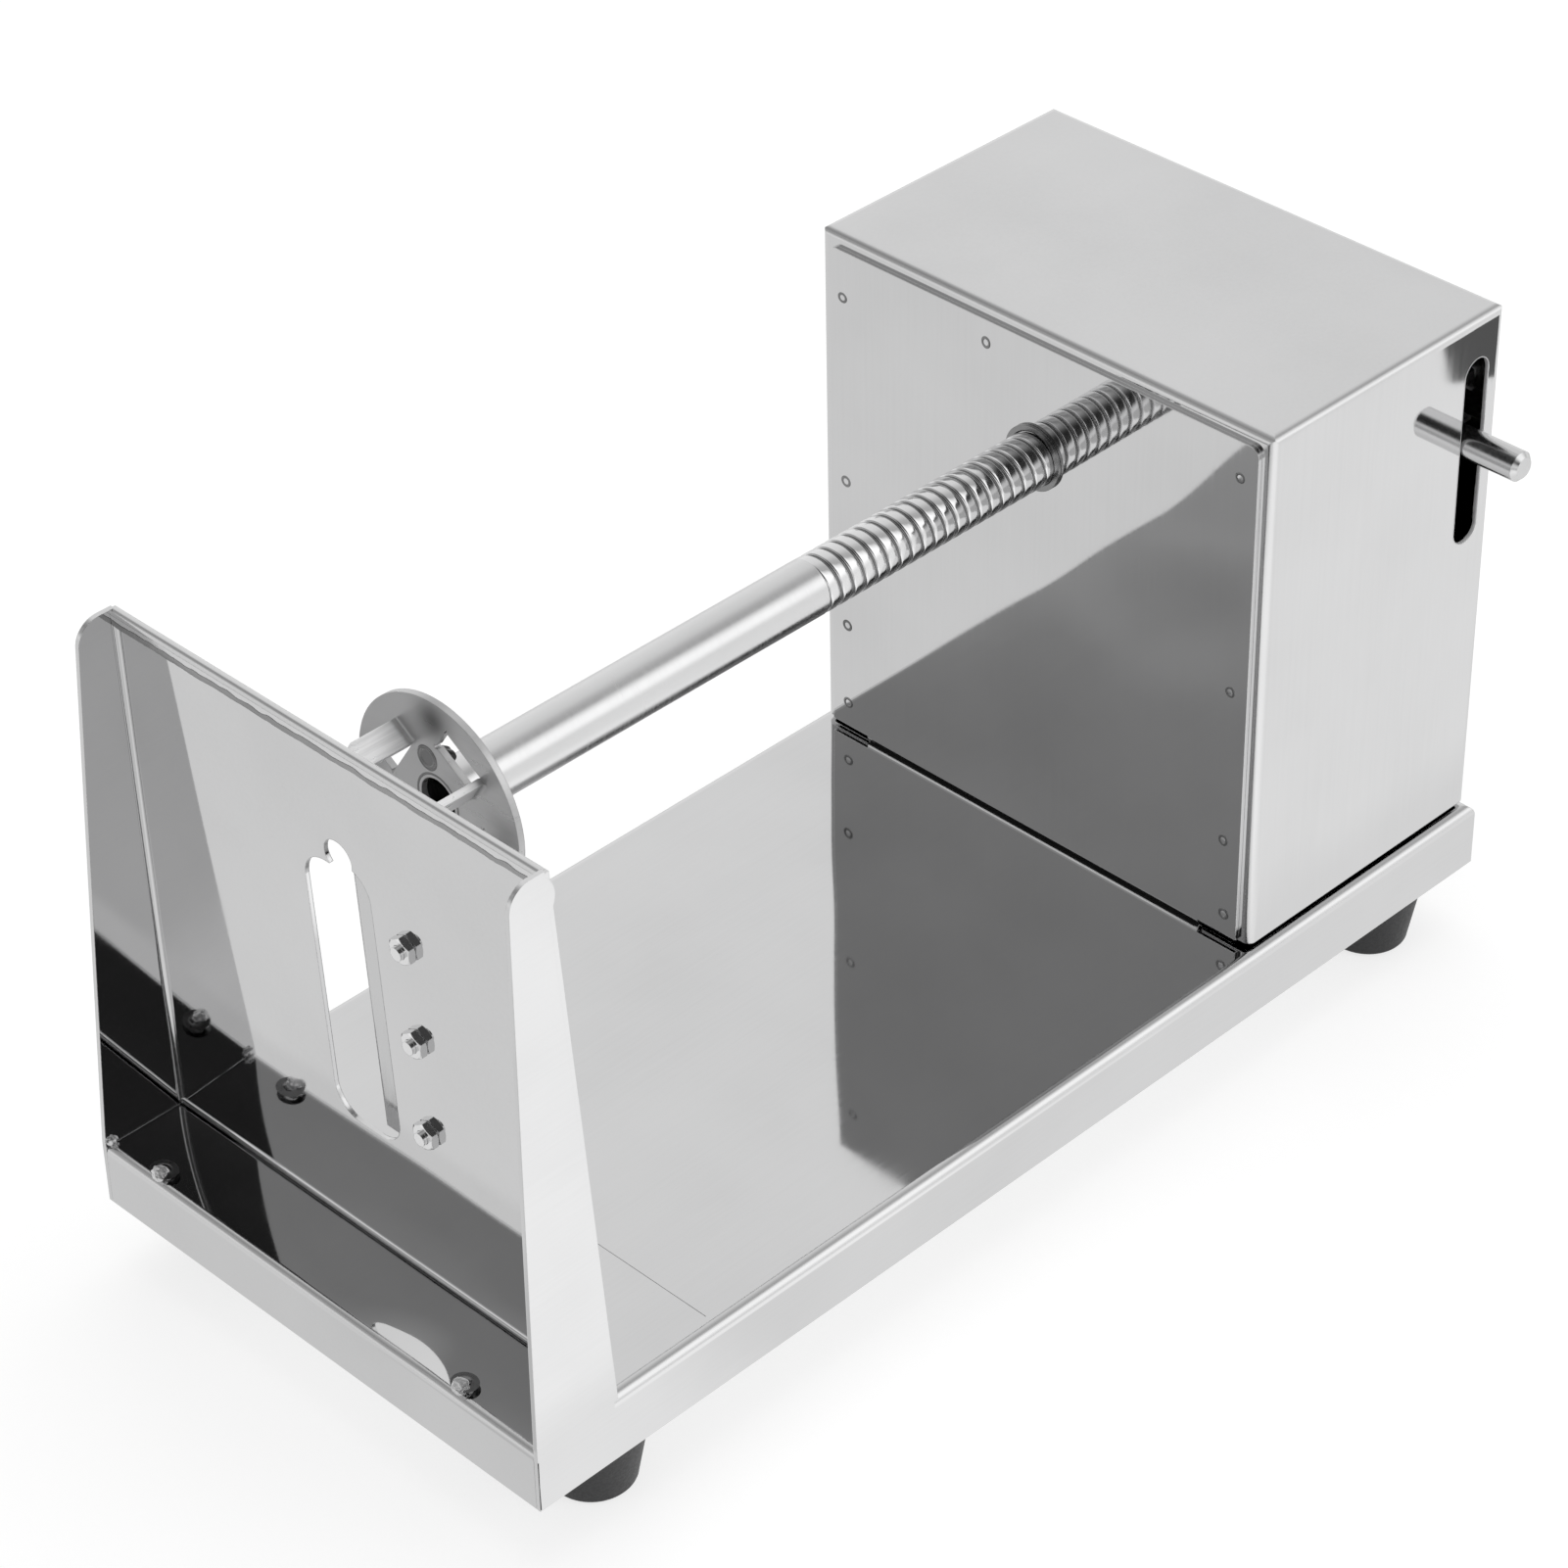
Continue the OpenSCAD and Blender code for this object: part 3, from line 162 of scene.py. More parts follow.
def metal(name, value, rough, spread, grain, waves=0.0, fine=0.0, edge=0.0003, smudge=0.0, spot=0.0,
          bends=0.0, bow=0.0, prong=0.0, dent=0.0):
    """A bare metal. grain stretches the fine marks, waves bends its reflections, smudge adds dull patches,
    bends dulls the folded edges, bow rounds a panel's right side, prong paints a highlight on what is before
    the disc and shade beside the prongs' bends, and dent lets the tray's floor sink towards its lip."""
    m, g, shader = new_material(name)
    shader.inputs["Metallic"].default_value = 1.0
    marks = g.noise(240, grain, 3.0, 0.62)
    patches = g.noise(28, detail=3.0)
    rough_value = g.remap(marks, 0.3, 0.72, rough - spread, rough + spread, smooth=False)
    if smudge:
        rough_value = g.math("ADD", rough_value, g.remap(patches, 0.52, 0.74, 0.0, smudge))
    if bends:
        rough_value = g.math("ADD", rough_value, g.remap(g.off_axis(), 0.004, 0.12, 0.0, bends))
    g.join(rough_value, shader.inputs["Roughness"])
    tone = g.math("ADD", g.math("MULTIPLY", marks, 0.25), g.math("MULTIPLY", patches, 0.75))
    low, high = value - 0.025 - spot, value + 0.02
    colour = g.ramp(tone, [(0.3, grey(low)), (0.5, grey(value)), (0.72, grey(high))])
    if prong:
        split = g.add("ShaderNodeSeparateXYZ")
        g.join(g.add("ShaderNodeTexCoord").outputs["Object"], split.inputs[0])
        before = g.remap(split.outputs[0], DISC_X - 0.0005, DISC_X - 0.002)
        # Painted shade: a dark patch on the disc beside each prong's bend, strongest at the upper one
        across = g.math("ABSOLUTE", split.outputs[1])
        height = g.math("SUBTRACT", split.outputs[2], AXIS_Z)
        upright = g.math("ABSOLUTE", height)
        far = g.math("SUBTRACT", g.math("MAXIMUM", across, upright), BEND_SHADE_R)
        near = g.math("MINIMUM", across, upright)
        spread2 = g.math("ADD", g.math("MULTIPLY", far, far), g.math("MULTIPLY", near, near))
        bend_shade = g.math("EXPONENT", g.math("MULTIPLY", spread2, -1 / BEND_SHADE_REACH ** 2))
        bend_shade = g.math("MULTIPLY", bend_shade, g.remap(height, 0.0, 0.008, 0.3, 0.92))
        shaded = g.add("ShaderNodeMix", data_type="RGBA")
        g.join(bend_shade, shaded.inputs[0])
        g.join(colour, shaded.inputs[6])
        shaded.inputs[7].default_value = (*grey(0.12), 1)
        colour = shaded.outputs[2]
        # Painted highlight: what stands before the disc, the prongs, is made brighter and less metallic, with
        # fine lines
        prong_highlight = g.add("ShaderNodeMix", data_type="RGBA")
        g.join(before, prong_highlight.inputs[0])
        g.join(colour, prong_highlight.inputs[6])
        lines = g.noise(1500, (0.05, 1, 1), 1.0)
        bright = grey(value + prong)
        g.join(g.ramp(lines, [(0.35, grey(value + prong - 0.14)), (0.6, bright)]), prong_highlight.inputs[7])
        colour = prong_highlight.outputs[2]
        g.join(g.blend(0.72, 0.25, before), shader.inputs["Metallic"])
    g.join(colour, shader.inputs["Base Color"])
    normal = None
    if edge:
        bevel = g.add("ShaderNodeBevel", samples=4)
        bevel.inputs["Radius"].default_value = edge
        normal = bevel.outputs["Normal"]
    if waves:
        normal = g.bump(g.noise(13, detail=1.0), waves, 1.0, normal)
    if bow:
        side = g.add("ShaderNodeSeparateXYZ")
        g.join(g.add("ShaderNodeTexCoord").outputs["Object"], side.inputs[0])
        part = g.math("MULTIPLY", g.math("ADD", side.outputs[1], 0.036), -1 / 0.024)
        part = g.math("MAXIMUM", part, 0.0)
        normal = g.bump(g.math("MULTIPLY", part, g.math("MULTIPLY", part, -1.0)), bow, 1.0, normal)
    if dent:
        side = g.add("ShaderNodeSeparateXYZ")
        g.join(g.add("ShaderNodeTexCoord").outputs["Object"], side.inputs[0])
        out = g.math("MAXIMUM", g.math("SUBTRACT", FOLD_X, side.outputs[0]), 0.0)
        along = g.math("DIVIDE", g.math("ADD", side.outputs[1], 0.029), 0.011)
        deeper = g.math("EXPONENT", g.math("MULTIPLY", g.math("MULTIPLY", along, along), -1.0))
        deeper = g.math("ADD", g.math("MULTIPLY", deeper, 1.1), 1.0)
        sink = g.math("MULTIPLY", g.math("MULTIPLY", out, out), deeper)
        normal = g.bump(g.math("MULTIPLY", sink, -500.0), dent, 1.0, normal)
    if fine:
        normal = g.bump(marks, fine, 1.0, normal)
    if normal is not None:
        g.join(normal, shader.inputs["Normal"])
    return m


def dull(name, colour, rough, spec, pebble, depth, wear):
    """Black plastic or rubber with a fine texture and paler wear."""
    m, g, shader = new_material(name)
    texture = g.noise(pebble, detail=3.0, rough=0.65)
    patches = g.noise(60, detail=2.0)
    shader.inputs["Specular IOR Level"].default_value = spec
    g.join(g.ramp(patches, [(0.35, colour), (0.62, tuple(c * 1.25 for c in colour)), (0.82, wear)]),
           shader.inputs["Base Color"])
    g.join(g.remap(texture, 0.3, 0.7, rough - 0.05, rough + 0.07), shader.inputs["Roughness"])
    g.join(g.bump(texture, depth), shader.inputs["Normal"])
    return m


polish = dict(value=0.66, rough=0.036, spread=0.012, fine=0.0000004, smudge=0.03, bends=0.16)
sheet_x = metal("polished_sheet_x", grain=(0.12, 5, 5), waves=0.0005, **polish)
sheet_z = metal("polished_sheet_z", grain=(5, 5, 0.12), waves=0.0005, **polish)
sheet_front = metal("polished_panel", grain=(5, 5, 0.12), waves=0.0006, bow=0.0002, **polish)
tray_mat = metal("polished_tray", grain=(0.12, 5, 5), waves=0.0004, dent=0.0035, **polish)
fold_mat = metal("folded_edge", 0.70, 0.16, 0.05, (3, 3, 3), fine=0.000002, edge=0)
tube_mat = metal("brushed_tube", 0.68, 0.2, 0.06, (9, 0.5, 0.5), fine=0.000006, edge=0, smudge=0.05)
thread_mat = metal("rolled_thread", 0.74, 0.13, 0.05, (6, 1, 1), fine=0.000005, edge=0, smudge=0.06)
# The disc: brushed, with a painted highlight on its prongs and painted shade beside their bends
disc_mat = metal("brushed_disc", 0.6, 0.32, 0.06, (1, 0.3, 3), fine=0.000003, smudge=0.08, spot=0.1,
                 prong=0.36)
# Dark metal on the thread's flanks and root: painted shade in the grooves
groove_shade_mat = metal("thread_groove_painted_shade", 0.2, 0.34, 0.08, (2, 2, 2), fine=0.00001, edge=0, spot=0.08)
# Steel of the bushes' collars, painted darker as the shadow in the gap round the shaft
collar_shade_mat = metal("collar_metal_painted_shade", 0.3, 0.26, 0.06, (2, 2, 2), fine=0.000006, edge=0.0002, spot=0.06)
arm_mat = metal("crank_sheet", 0.66, 0.13, 0.05, (3, 3, 0.3), waves=0.0003, fine=0.000003, smudge=0.06)
blade_mat = metal("ground_blade", 0.62, 0.16, 0.05, (0.5, 6, 0.5), fine=0.000004, smudge=0.05)
mill_mat = metal("mill_steel", 0.46, 0.3, 0.08, (1, 2, 2), fine=0.00001, smudge=0.1, spot=0.05)
screw_mat = metal("plated_screw", 0.80, 0.12, 0.05, (2, 2, 2), fine=0.000008, smudge=0.08, edge=0.0002)
pin_mat = metal("turned_pin", 0.62, 0.18, 0.05, (2, 8, 2), fine=0.000006, smudge=0.06, edge=0.0002)
wire_mat = metal("spring_wire", 0.42, 0.26, 0.06, (2, 2, 2), fine=0.00001, edge=0)
mark_mat = metal("weld_mark", 0.26, 0.3, 0.08, (2, 2, 2), fine=0.00002, edge=0, spot=0.1)
eye_mat = metal("weld_eye", 0.7, 0.16, 0.05, (2, 2, 2), fine=0.000006, edge=0, spot=0.1)
weld_mat = metal("weld_metal", 0.78, 0.24, 0.08, (1, 1, 1), fine=0.00006, edge=0, spot=0.25)
weld_mat.node_tree.nodes["Principled BSDF"].inputs["Metallic"].default_value = 0.7
burnt_mat = metal("weld_burnt", 0.03, 0.26, 0.08, (1, 1, 1), fine=0.00006, edge=0, spot=0.2)
tint_mat = metal("heat_tint", 0.22, 0.32, 0.1, (1, 1, 1), fine=0.00001, edge=0, spot=0.1)
hem_mat = metal("hem_shade", 0.34, 0.3, 0.08, (2, 2, 2), fine=0.000006, edge=0, spot=0.06)
cut_mat = metal("cut_edge", 0.86, 0.3, 0.05, (2, 2, 2), fine=0.000004, edge=0)
cut_mat.node_tree.nodes["Principled BSDF"].inputs["Metallic"].default_value = 0.25
# Near-black strips painted as shadow in the gaps under the front panel's foot and at the tray's corner
shadow_seam_mat = dull("painted_seam_shadow", (0.01, 0.01, 0.01), 0.6, 0.2, 900, 0.00001, (0.02, 0.02, 0.02))
grip_mat = dull("grip_plastic", (0.012, 0.012, 0.012), 0.34, 0.5, 900, 0.00004, (0.03, 0.03, 0.03))
rubber_mat = dull("foot_rubber", (0.034, 0.034, 0.035), 0.52, 0.4, 1400, 0.00008, (0.05, 0.05, 0.05))

finish = {
    "base_frame": sheet_x, "front_tray": tray_mat, "housing_cover": sheet_z,
    "housing_front_panel": sheet_front, "housing_rear_panel": sheet_z,
    "claw_disc": disc_mat, "crank_arm": arm_mat, "blade": blade_mat,
    "handle_grip": grip_mat, "front_bush": collar_shade_mat, "rear_bush": collar_shade_mat,
    "release_pin": pin_mat, "release_spring": wire_mat, "screw_shaft": tube_mat,
    "release_lever": mill_mat, "half_nut": mill_mat, "pivot_spacer": mill_mat,
}
for corner in ("front_left", "front_right", "rear_left", "rear_right"):
    finish["foot_" + corner] = rubber_mat
    finish["foot_bracket_" + corner] = mill_mat
for name, obj in nodes.items():
    obj.data.materials.clear()
    obj.data.materials.append(finish.get(name, screw_mat))


# ---------------------------------------------------------------- pieces

def piece(name, bm, material, body, smooth=40):
    """Makes an object of a bmesh, shades it smooth up to an angle and lets it ride on a body."""
    bmesh.ops.recalc_face_normals(bm, faces=bm.faces)
    limit = radians(smooth)
    for edge in bm.edges:
        edge.smooth = len(edge.link_faces) == 2 and edge.calc_face_angle(pi) < limit
    for face in bm.faces:
        face.smooth = True
    mesh = bpy.data.meshes.new(name)
    bm.to_mesh(mesh)
    bm.free()
    obj = bpy.data.objects.new(name, mesh)
    scene.collection.objects.link(obj)
    mesh.materials.append(material)
    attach(obj, body)
    return obj


def turn(bm, profile, steps, matrix, closed=False):
    """Turns (radius, height) points about Z into bm and places them with matrix."""
    rings = []
    for r, h in profile:
        if r < 1e-7:
            rings.append([bm.verts.new(matrix @ Vector((0, 0, h)))])
        else:
            angles = [tau * k / steps for k in range(steps)]
            rings.append([bm.verts.new(matrix @ Vector((r * cos(a), r * sin(a), h))) for a in angles])
    pairs = list(zip(rings, rings[1:])) + ([(rings[-1], rings[0])] if closed else [])
    for a, b in pairs:
        for k in range(steps):
            n = (k + 1) % steps
            corners = [a[k % len(a)], a[n % len(a)], b[n % len(b)], b[k % len(b)]]
            unique = list(dict.fromkeys(corners))
            if len(unique) > 2:
                bm.faces.new(unique)


TO_X = Matrix.Rotation(pi / 2, 4, "Y")


def along_x(x, y, z):
    return Matrix.Translation((x, y, z)) @ TO_X


# The shaft: a smooth tube, the rolled thread, and the open tail that the arm sits on
tube_x, thread_x0, thread_x1, tail_x = -0.1015, -0.0037, 0.1268, 0.1563
pitch = 0.00335
outer, core, bore = 0.00625, 0.00578, 0.00475
bm = bmesh.new()
chamfer = 0.0003
at_axis = along_x(0, 0, AXIS_Z)
turn(bm, [(bore, tube_x), (outer - chamfer, tube_x), (outer, tube_x + chamfer), (outer, thread_x0 - 0.0002),
          (outer - 0.0002, thread_x0), (bore, thread_x0)], 72, at_axis)
turn(bm, [(bore, thread_x1), (outer - 0.0002, thread_x1), (outer, thread_x1 + 0.0002),
          (outer, tail_x - chamfer), (outer - chamfer, tail_x), (bore + chamfer, tail_x),
          (bore, tail_x - chamfer), (bore, tube_x)], 72, at_axis)
tube = piece("shaft_tube", bm, tube_mat, "shaft")

# One ridge of the thread in section: millimetres along the shaft, and the radius there
bm = bmesh.new()
STEPS = 56
land = [(-1.40, core), (-1.31, 0.0059), (-1.22, 0.0061), (-1.02, 0.0062), (-0.65, 0.006232),
        (-0.2, 0.00624), (0.4, 0.006236), (0.9, 0.00622), (1.2, 0.00615), (1.32, 0.0059), (1.40, core)]
turns = (thread_x1 - thread_x0) / pitch + 2
count = int(turns * STEPS)
rings = []
for i in range(count + 1):
    a = tau * (i / STEPS - 1)
    x = thread_x0 + pitch * a / tau
    rings.append([bm.verts.new((min(max(x + dx * 0.001, thread_x0 - 0.006), thread_x1 + 0.006),
                                r * cos(a), AXIS_Z + r * sin(a))) for dx, r in land])
# The flanks and the root between ridges take the dark second material, painted shade in the grooves
for i in range(count):
    for j in range(len(land) - 1):
        face = bm.faces.new([rings[i][j], rings[i][j + 1], rings[i + 1][j + 1], rings[i + 1][j]])
        face.material_index = 1 if j in (0, len(land) - 2) else 0
    if i + 1 + STEPS <= count:
        after = i + STEPS
        face = bm.faces.new([rings[i][-1], rings[after][0], rings[after + 1][0], rings[i + 1][-1]])
        face.material_index = 1
thread = piece("shaft_thread", bm, thread_mat, "shaft", smooth=60)
thread.data.materials.append(groove_shade_mat)
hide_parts("screw_shaft")

# The grip, with the swell, the long taper and a fine parting groove at the arm's end
grip_at = along_x(0.1536, CRANK_R * cos(CRANK), AXIS_Z + CRANK_R * sin(CRANK))


def grip_r(t):
    """The grip's radius, from the arm's end at t = 0 to the cap's at t = 1."""
    r0, r1 = 0.011, 0.0072
    if t < 0.2:
        return r0 - (r0 - r1) * 0.12 * ((0.2 - t) / 0.2) ** 2
    return r0 - (r0 - r1) * (1 - cos(pi * min(1, (t - 0.2) / 0.86))) / 2 / 0.95


length, rim = 0.061, 0.0008
profile = [(0.0031, 0), (grip_r(0) - rim, 0), (grip_r(0) - 0.0003, 0.0003), (grip_r(0) - 0.00003, rim)]
for i in range(1, 40):
    t = i / 40
    profile.append((grip_r(t) - 0.00005, rim + (length - 2 * rim) * t))
end_r = grip_r(1)
profile += [(end_r - 0.00005, length - rim), (end_r - 0.0003, length - 0.0002), (end_r - rim, length),
            (0.0031, length)]
bm = bmesh.new()
turn(bm, profile, 72, grip_at, closed=True)
grip = piece("grip_body", bm, grip_mat, "grip", smooth=50)
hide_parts("handle_grip")

# Spot weld marks on the two panels
front_marks = [(55.5, 113), (14, 119), (55, 67), (55, 29), (55, 8),
               (-55, 116), (-55, 64), (-55, 26), (-56, 7)]
rear_marks = [(54, 120), (17, 120), (54, 90), (54, 42.5), (52, 10),
              (-55, 120), (-55, 85), (-56.5, 43), (-57, 11)]
ring_bm, eye_bm = bmesh.new(), bmesh.new()
ring = [(0.0007, 0.00002), (0.0008, 0.00007), (0.00105, 0.00009), (0.00125, 0.00006), (0.00135, 0.00001)]
eye = [(0, 0.00005), (0.0003, 0.000045), (0.00055, 0.00003), (0.0007, 0.00001)]
for side, at, marks in ((-1, FRONT_PANEL, front_marks), (1, REAR_PANEL, rear_marks)):
    for y, z in marks:
        place = Matrix.Translation((at, y * 0.001, BASE_TOP + z * 0.001))
        place = place @ Matrix.Rotation(side * pi / 2, 4, "Y")
        place = place @ Matrix.Diagonal((1.0 + 0.08 * sin(y + z), 1.0 + 0.05 * sin(3 * y), 1.0, 1.0))
        turn(ring_bm, ring, 32, place)
        turn(eye_bm, eye, 32, place)
piece("spot_weld_rings", ring_bm, mark_mat, "base")
piece("spot_weld_eyes", eye_bm, eye_mat, "base")


def blob(bm, centre, size, seed, ripples=0.0, level=4):
    """A small uneven bead of weld metal, with ripples across X."""
    made = bmesh.ops.create_icosphere(bm, subdivisions=level, radius=1.0)["verts"]
    for v in made:
        p = v.co.copy()
        swell = 1 + 0.22 * noise.noise(p * 1.6 + Vector((seed, seed * 2, 0)))
        swell += ripples * sin(9 * p.x + seed)
        v.co = Vector((p.x * size[0], p.y * size[1], p.z * size[2])) * swell + Vector(centre)


rippled = [(0.0015, 0.0002), (0.0019, 0.00008), (0.0022, 0.00005), (0.0025, 0.00008), (0.0028, 0.00002),
           (0.003, 0.00004), (0.0032, 0.00001)]
welds = [(-0.1419, 0.049, 1.7), (-0.1416, -0.041, 4.2)]
bm = bmesh.new()
for x, y, seed in welds:
    blob(bm, (x, y, BASE_TOP + 0.0001), (0.0017, 0.0019, 0.0009), seed, 0.03)
    blob(bm, (x - 0.0009, y - 0.0006, BASE_TOP - 0.0002), (0.0012, 0.0015, 0.0009), seed + 3, 0.02)
blob(bm, (-0.1423, -0.0638, BASE_TOP - 0.0003), (0.0013, 0.0009, 0.0011), 2.2, 0.06)
blob(bm, (-0.1423, 0.0638, BASE_TOP - 0.0003), (0.0013, 0.0009, 0.0011), 5.1, 0.06)
piece("tray_welds", bm, weld_mat, "base", smooth=180)
bm = bmesh.new()
for x, y, seed in welds:
    centre = Matrix.Translation((x + 0.0011, y, BASE_TOP))
    turn(bm, rippled, 40, centre @ Matrix.Diagonal((0.85, 1.0 + 0.05 * sin(seed), 1, 1)))
piece("weld_rings", bm, tint_mat, "base", smooth=180)

# The dark plug with its ring in the claw disc, beside the bore
bm = bmesh.new()
ring_at = Matrix.Translation((DISC_X, 0, AXIS_Z)) @ Matrix.Rotation(PLUG_TURN, 4, "X")
ring_at = ring_at @ Matrix.Translation((0, PLUG_R, 0)) @ Matrix.Rotation(-pi / 2, 4, "Y")
turn(bm, [(0, 0.00003), (0.00168, 0.00002)], 40, ring_at)
turn(bm, [(0.00225, 0.00001), (0.00235, 0.00009), (0.0027, 0.00009), (0.0028, 0.00001)], 40, ring_at)
bore_at = Matrix.Translation((DISC_X, 0, AXIS_Z)) @ Matrix.Rotation(-pi / 2, 4, "Y")
turn(bm, [(0.00535, 0.00001), (0.00545, 0.00004), (0.00575, 0.00004), (0.0059, 0.00001)], 64, bore_at)
piece("disc_plug_dark", bm, tint_mat, "shaft")
bm = bmesh.new()
turn(bm, [(0.00172, 0.00001), (0.00185, 0.0001), (0.0021, 0.0001), (0.00222, 0.00001)], 40, ring_at)
piece("disc_plug_ring", bm, mark_mat, "shaft")

# Behind it the burnt bead that welds the disc to the tube
bm = bmesh.new()
bead_at = (DISC_X + 0.003, BEAD_R * cos(BEAD_TURN), AXIS_Z + BEAD_R * sin(BEAD_TURN))
blob(bm, bead_at, (0.0021, 0.0023, 0.0022), 1.3)
piece("disc_weld", bm, burnt_mat, "shaft", smooth=180)

# The hem's raw lower edge, slightly uneven, over the plate's outer face
lean = atan(PLATE_LEAN / PLATE_H)
plate_at = Matrix.Translation((FOLD_X, 0, BASE_TOP)) @ Matrix.Rotation(-lean, 4, "Y")
bm = bmesh.new()
top = PLATE_H / cos(lean)
half = SIDE_Y - PLATE_TAPER - SHEET
verts, hem_low = [], []
N = 160
for k in range(N + 1):
    y = -half + 2 * half * k / N
    wave = 0.00035 * noise.noise(Vector((y * 160, 3.1, 0)))
    wave += 0.00012 * noise.noise(Vector((y * 900, 1.7, 0)))
    low = top - 0.0037 + wave
    hem_low.append((y, low))
    verts.append([bm.verts.new(plate_at @ Vector((-0.00102, y, top - 0.0012))),
                  bm.verts.new(plate_at @ Vector((-0.00106, y, low + 0.0002))),
                  bm.verts.new(plate_at @ Vector((-0.00098, y, low))),
                  bm.verts.new(plate_at @ Vector((-0.0001, y, low + 0.0001)))])
for a, b in zip(verts, verts[1:]):
    for j in range(3):
        bm.faces.new([a[j], a[j + 1], b[j + 1], b[j]])
piece("hem_edge", bm, fold_mat, "base", smooth=60)
bm = bmesh.new()
rows = []
for y, low in hem_low:
    ragged = low + 0.0013 + 0.0004 * noise.noise(Vector((y * 340, 7.3, 0)))
    section = ((-0.00108, ragged), (-0.0011, low + 0.0002),
               (-0.00102, low - 0.00006), (-0.0001, low - 0.0001))
    rows.append([bm.verts.new(plate_at @ Vector((x, y, z))) for x, z in section])
for a, b in zip(rows, rows[1:]):
    for j in range(3):
        bm.faces.new([a[j], a[j + 1], b[j + 1], b[j]])
piece("hem_shadow", bm, hem_mat, "base")

# The folds in the corners of the outlet bay, which are rounded on the inside
lip_taper = atan(PLATE_TAPER / PLATE_H)
up, plate_n = Vector((0, 0, 1)), Vector((-cos(lean), 0, -sin(lean)))


def fold(bm, start, end, n1, n2, radius, steps=10, parts=24):
    """A concave quarter round between two faces with normals n1 and n2 that meet in the line start-end."""
    start, end = Vector(start), Vector(end)
    rows = []
    for i in range(parts + 1):
        at = start.lerp(end, i / parts)
        r = radius * (1 + 0.12 * noise.noise(at * 90))
        rows.append([bm.verts.new(at + (n1 + n2) * r - n1 * (r * cos(pi / 2 * k / steps))
                                  - n2 * (r * sin(pi / 2 * k / steps)))
                     for k in range(steps + 1)])
    for a, b in zip(rows, rows[1:]):
        for k in range(steps):
            bm.faces.new([a[k], a[k + 1], b[k + 1], b[k]])


bm = bmesh.new()
for side in (1, -1):
    side_n = Vector((0, -side * cos(lip_taper), -sin(lip_taper)))
    fold(bm, (FOLD_X, side * (SIDE_Y - SHEET), BASE_TOP),
         (FOLD_X - PLATE_LEAN, side * half, BASE_TOP + PLATE_H - SHEET), plate_n, side_n, 0.0011)
fold(bm, (FOLD_X, SHEET - SIDE_Y, BASE_TOP), (FOLD_X, SIDE_Y - SHEET, BASE_TOP), up, plate_n, 0.0006)
piece("bay_folds", bm, fold_mat, "base", smooth=60)

# A near-black strip painted as the shadow under the front panel's foot, and the bright cut edge of the lever's
# slot
bm = bmesh.new()
seam = [(0.0627, 0.03151), (0.06352, 0.03158), (0.0635, 0.0321)]
ends = [[bm.verts.new((x, y, z)) for x, z in seam] for y in (-0.0485, 0.0485)]
for j in range(2):
    bm.faces.new([ends[0][j], ends[0][j + 1], ends[1][j + 1], ends[1][j]])
piece("panel_foot_shadow", bm, shadow_seam_mat, "base")
bm = bmesh.new()
rim = []
for k in range(64):
    a = tau * k / 64
    z = SLOT_TOP if sin(a) >= 0 else SLOT_LOW
    section = ((0.00018, -0.06272), (0.00002, -0.06274), (-0.00006, -0.06262), (-0.00008, -0.0619))
    rim.append([bm.verts.new((SLOT_X + (SLOT_R + dr) * cos(a), y, z + (SLOT_R + dr) * sin(a)))
                for dr, y in section])
for k in range(64):
    a, b = rim[k], rim[(k + 1) % 64]
    for j in range(3):
        bm.faces.new([a[j], a[j + 1], b[j + 1], b[j]])
piece("slot_rim", bm, cut_mat, "base", smooth=60)


def slab(bm, outline, depth):
    """A closed solid between an outline and the same outline moved by depth."""
    near = [bm.verts.new(Vector(p)) for p in outline]
    far = [bm.verts.new(Vector(p) + Vector(depth)) for p in outline]
    bm.faces.new(near)
    bm.faces.new(far[::-1])
    for k in range(len(near)):
        n = (k + 1) % len(near)
        bm.faces.new([near[k], far[k], far[n], near[n]])


# Painted shadow in the open seam where the tray's lip meets the right side's
seam = [(-0.14398, 0.0164), (-0.14370, 0.0164), (-0.1438, 0.0225), (-0.14372, 0.0286), (-0.14398, 0.0286)]
bm = bmesh.new()
slab(bm, [(x, -0.06495, z) for x, z in seam], (0, -0.00007, 0))
piece("corner_seam_shadow", bm, shadow_seam_mat, "base")

# A hairline scored across the base's top, near the blade plate
bm = bmesh.new()
slab(bm, [(-0.09576, -0.061, BASE_TOP), (-0.09564, -0.061, BASE_TOP), (-0.09564, -0.03, BASE_TOP),
          (-0.09576, -0.03, BASE_TOP)], (0, 0, 0.00002))
piece("base_scored_line", bm, mark_mat, "base")


# ---------------------------------------------------------------- studio

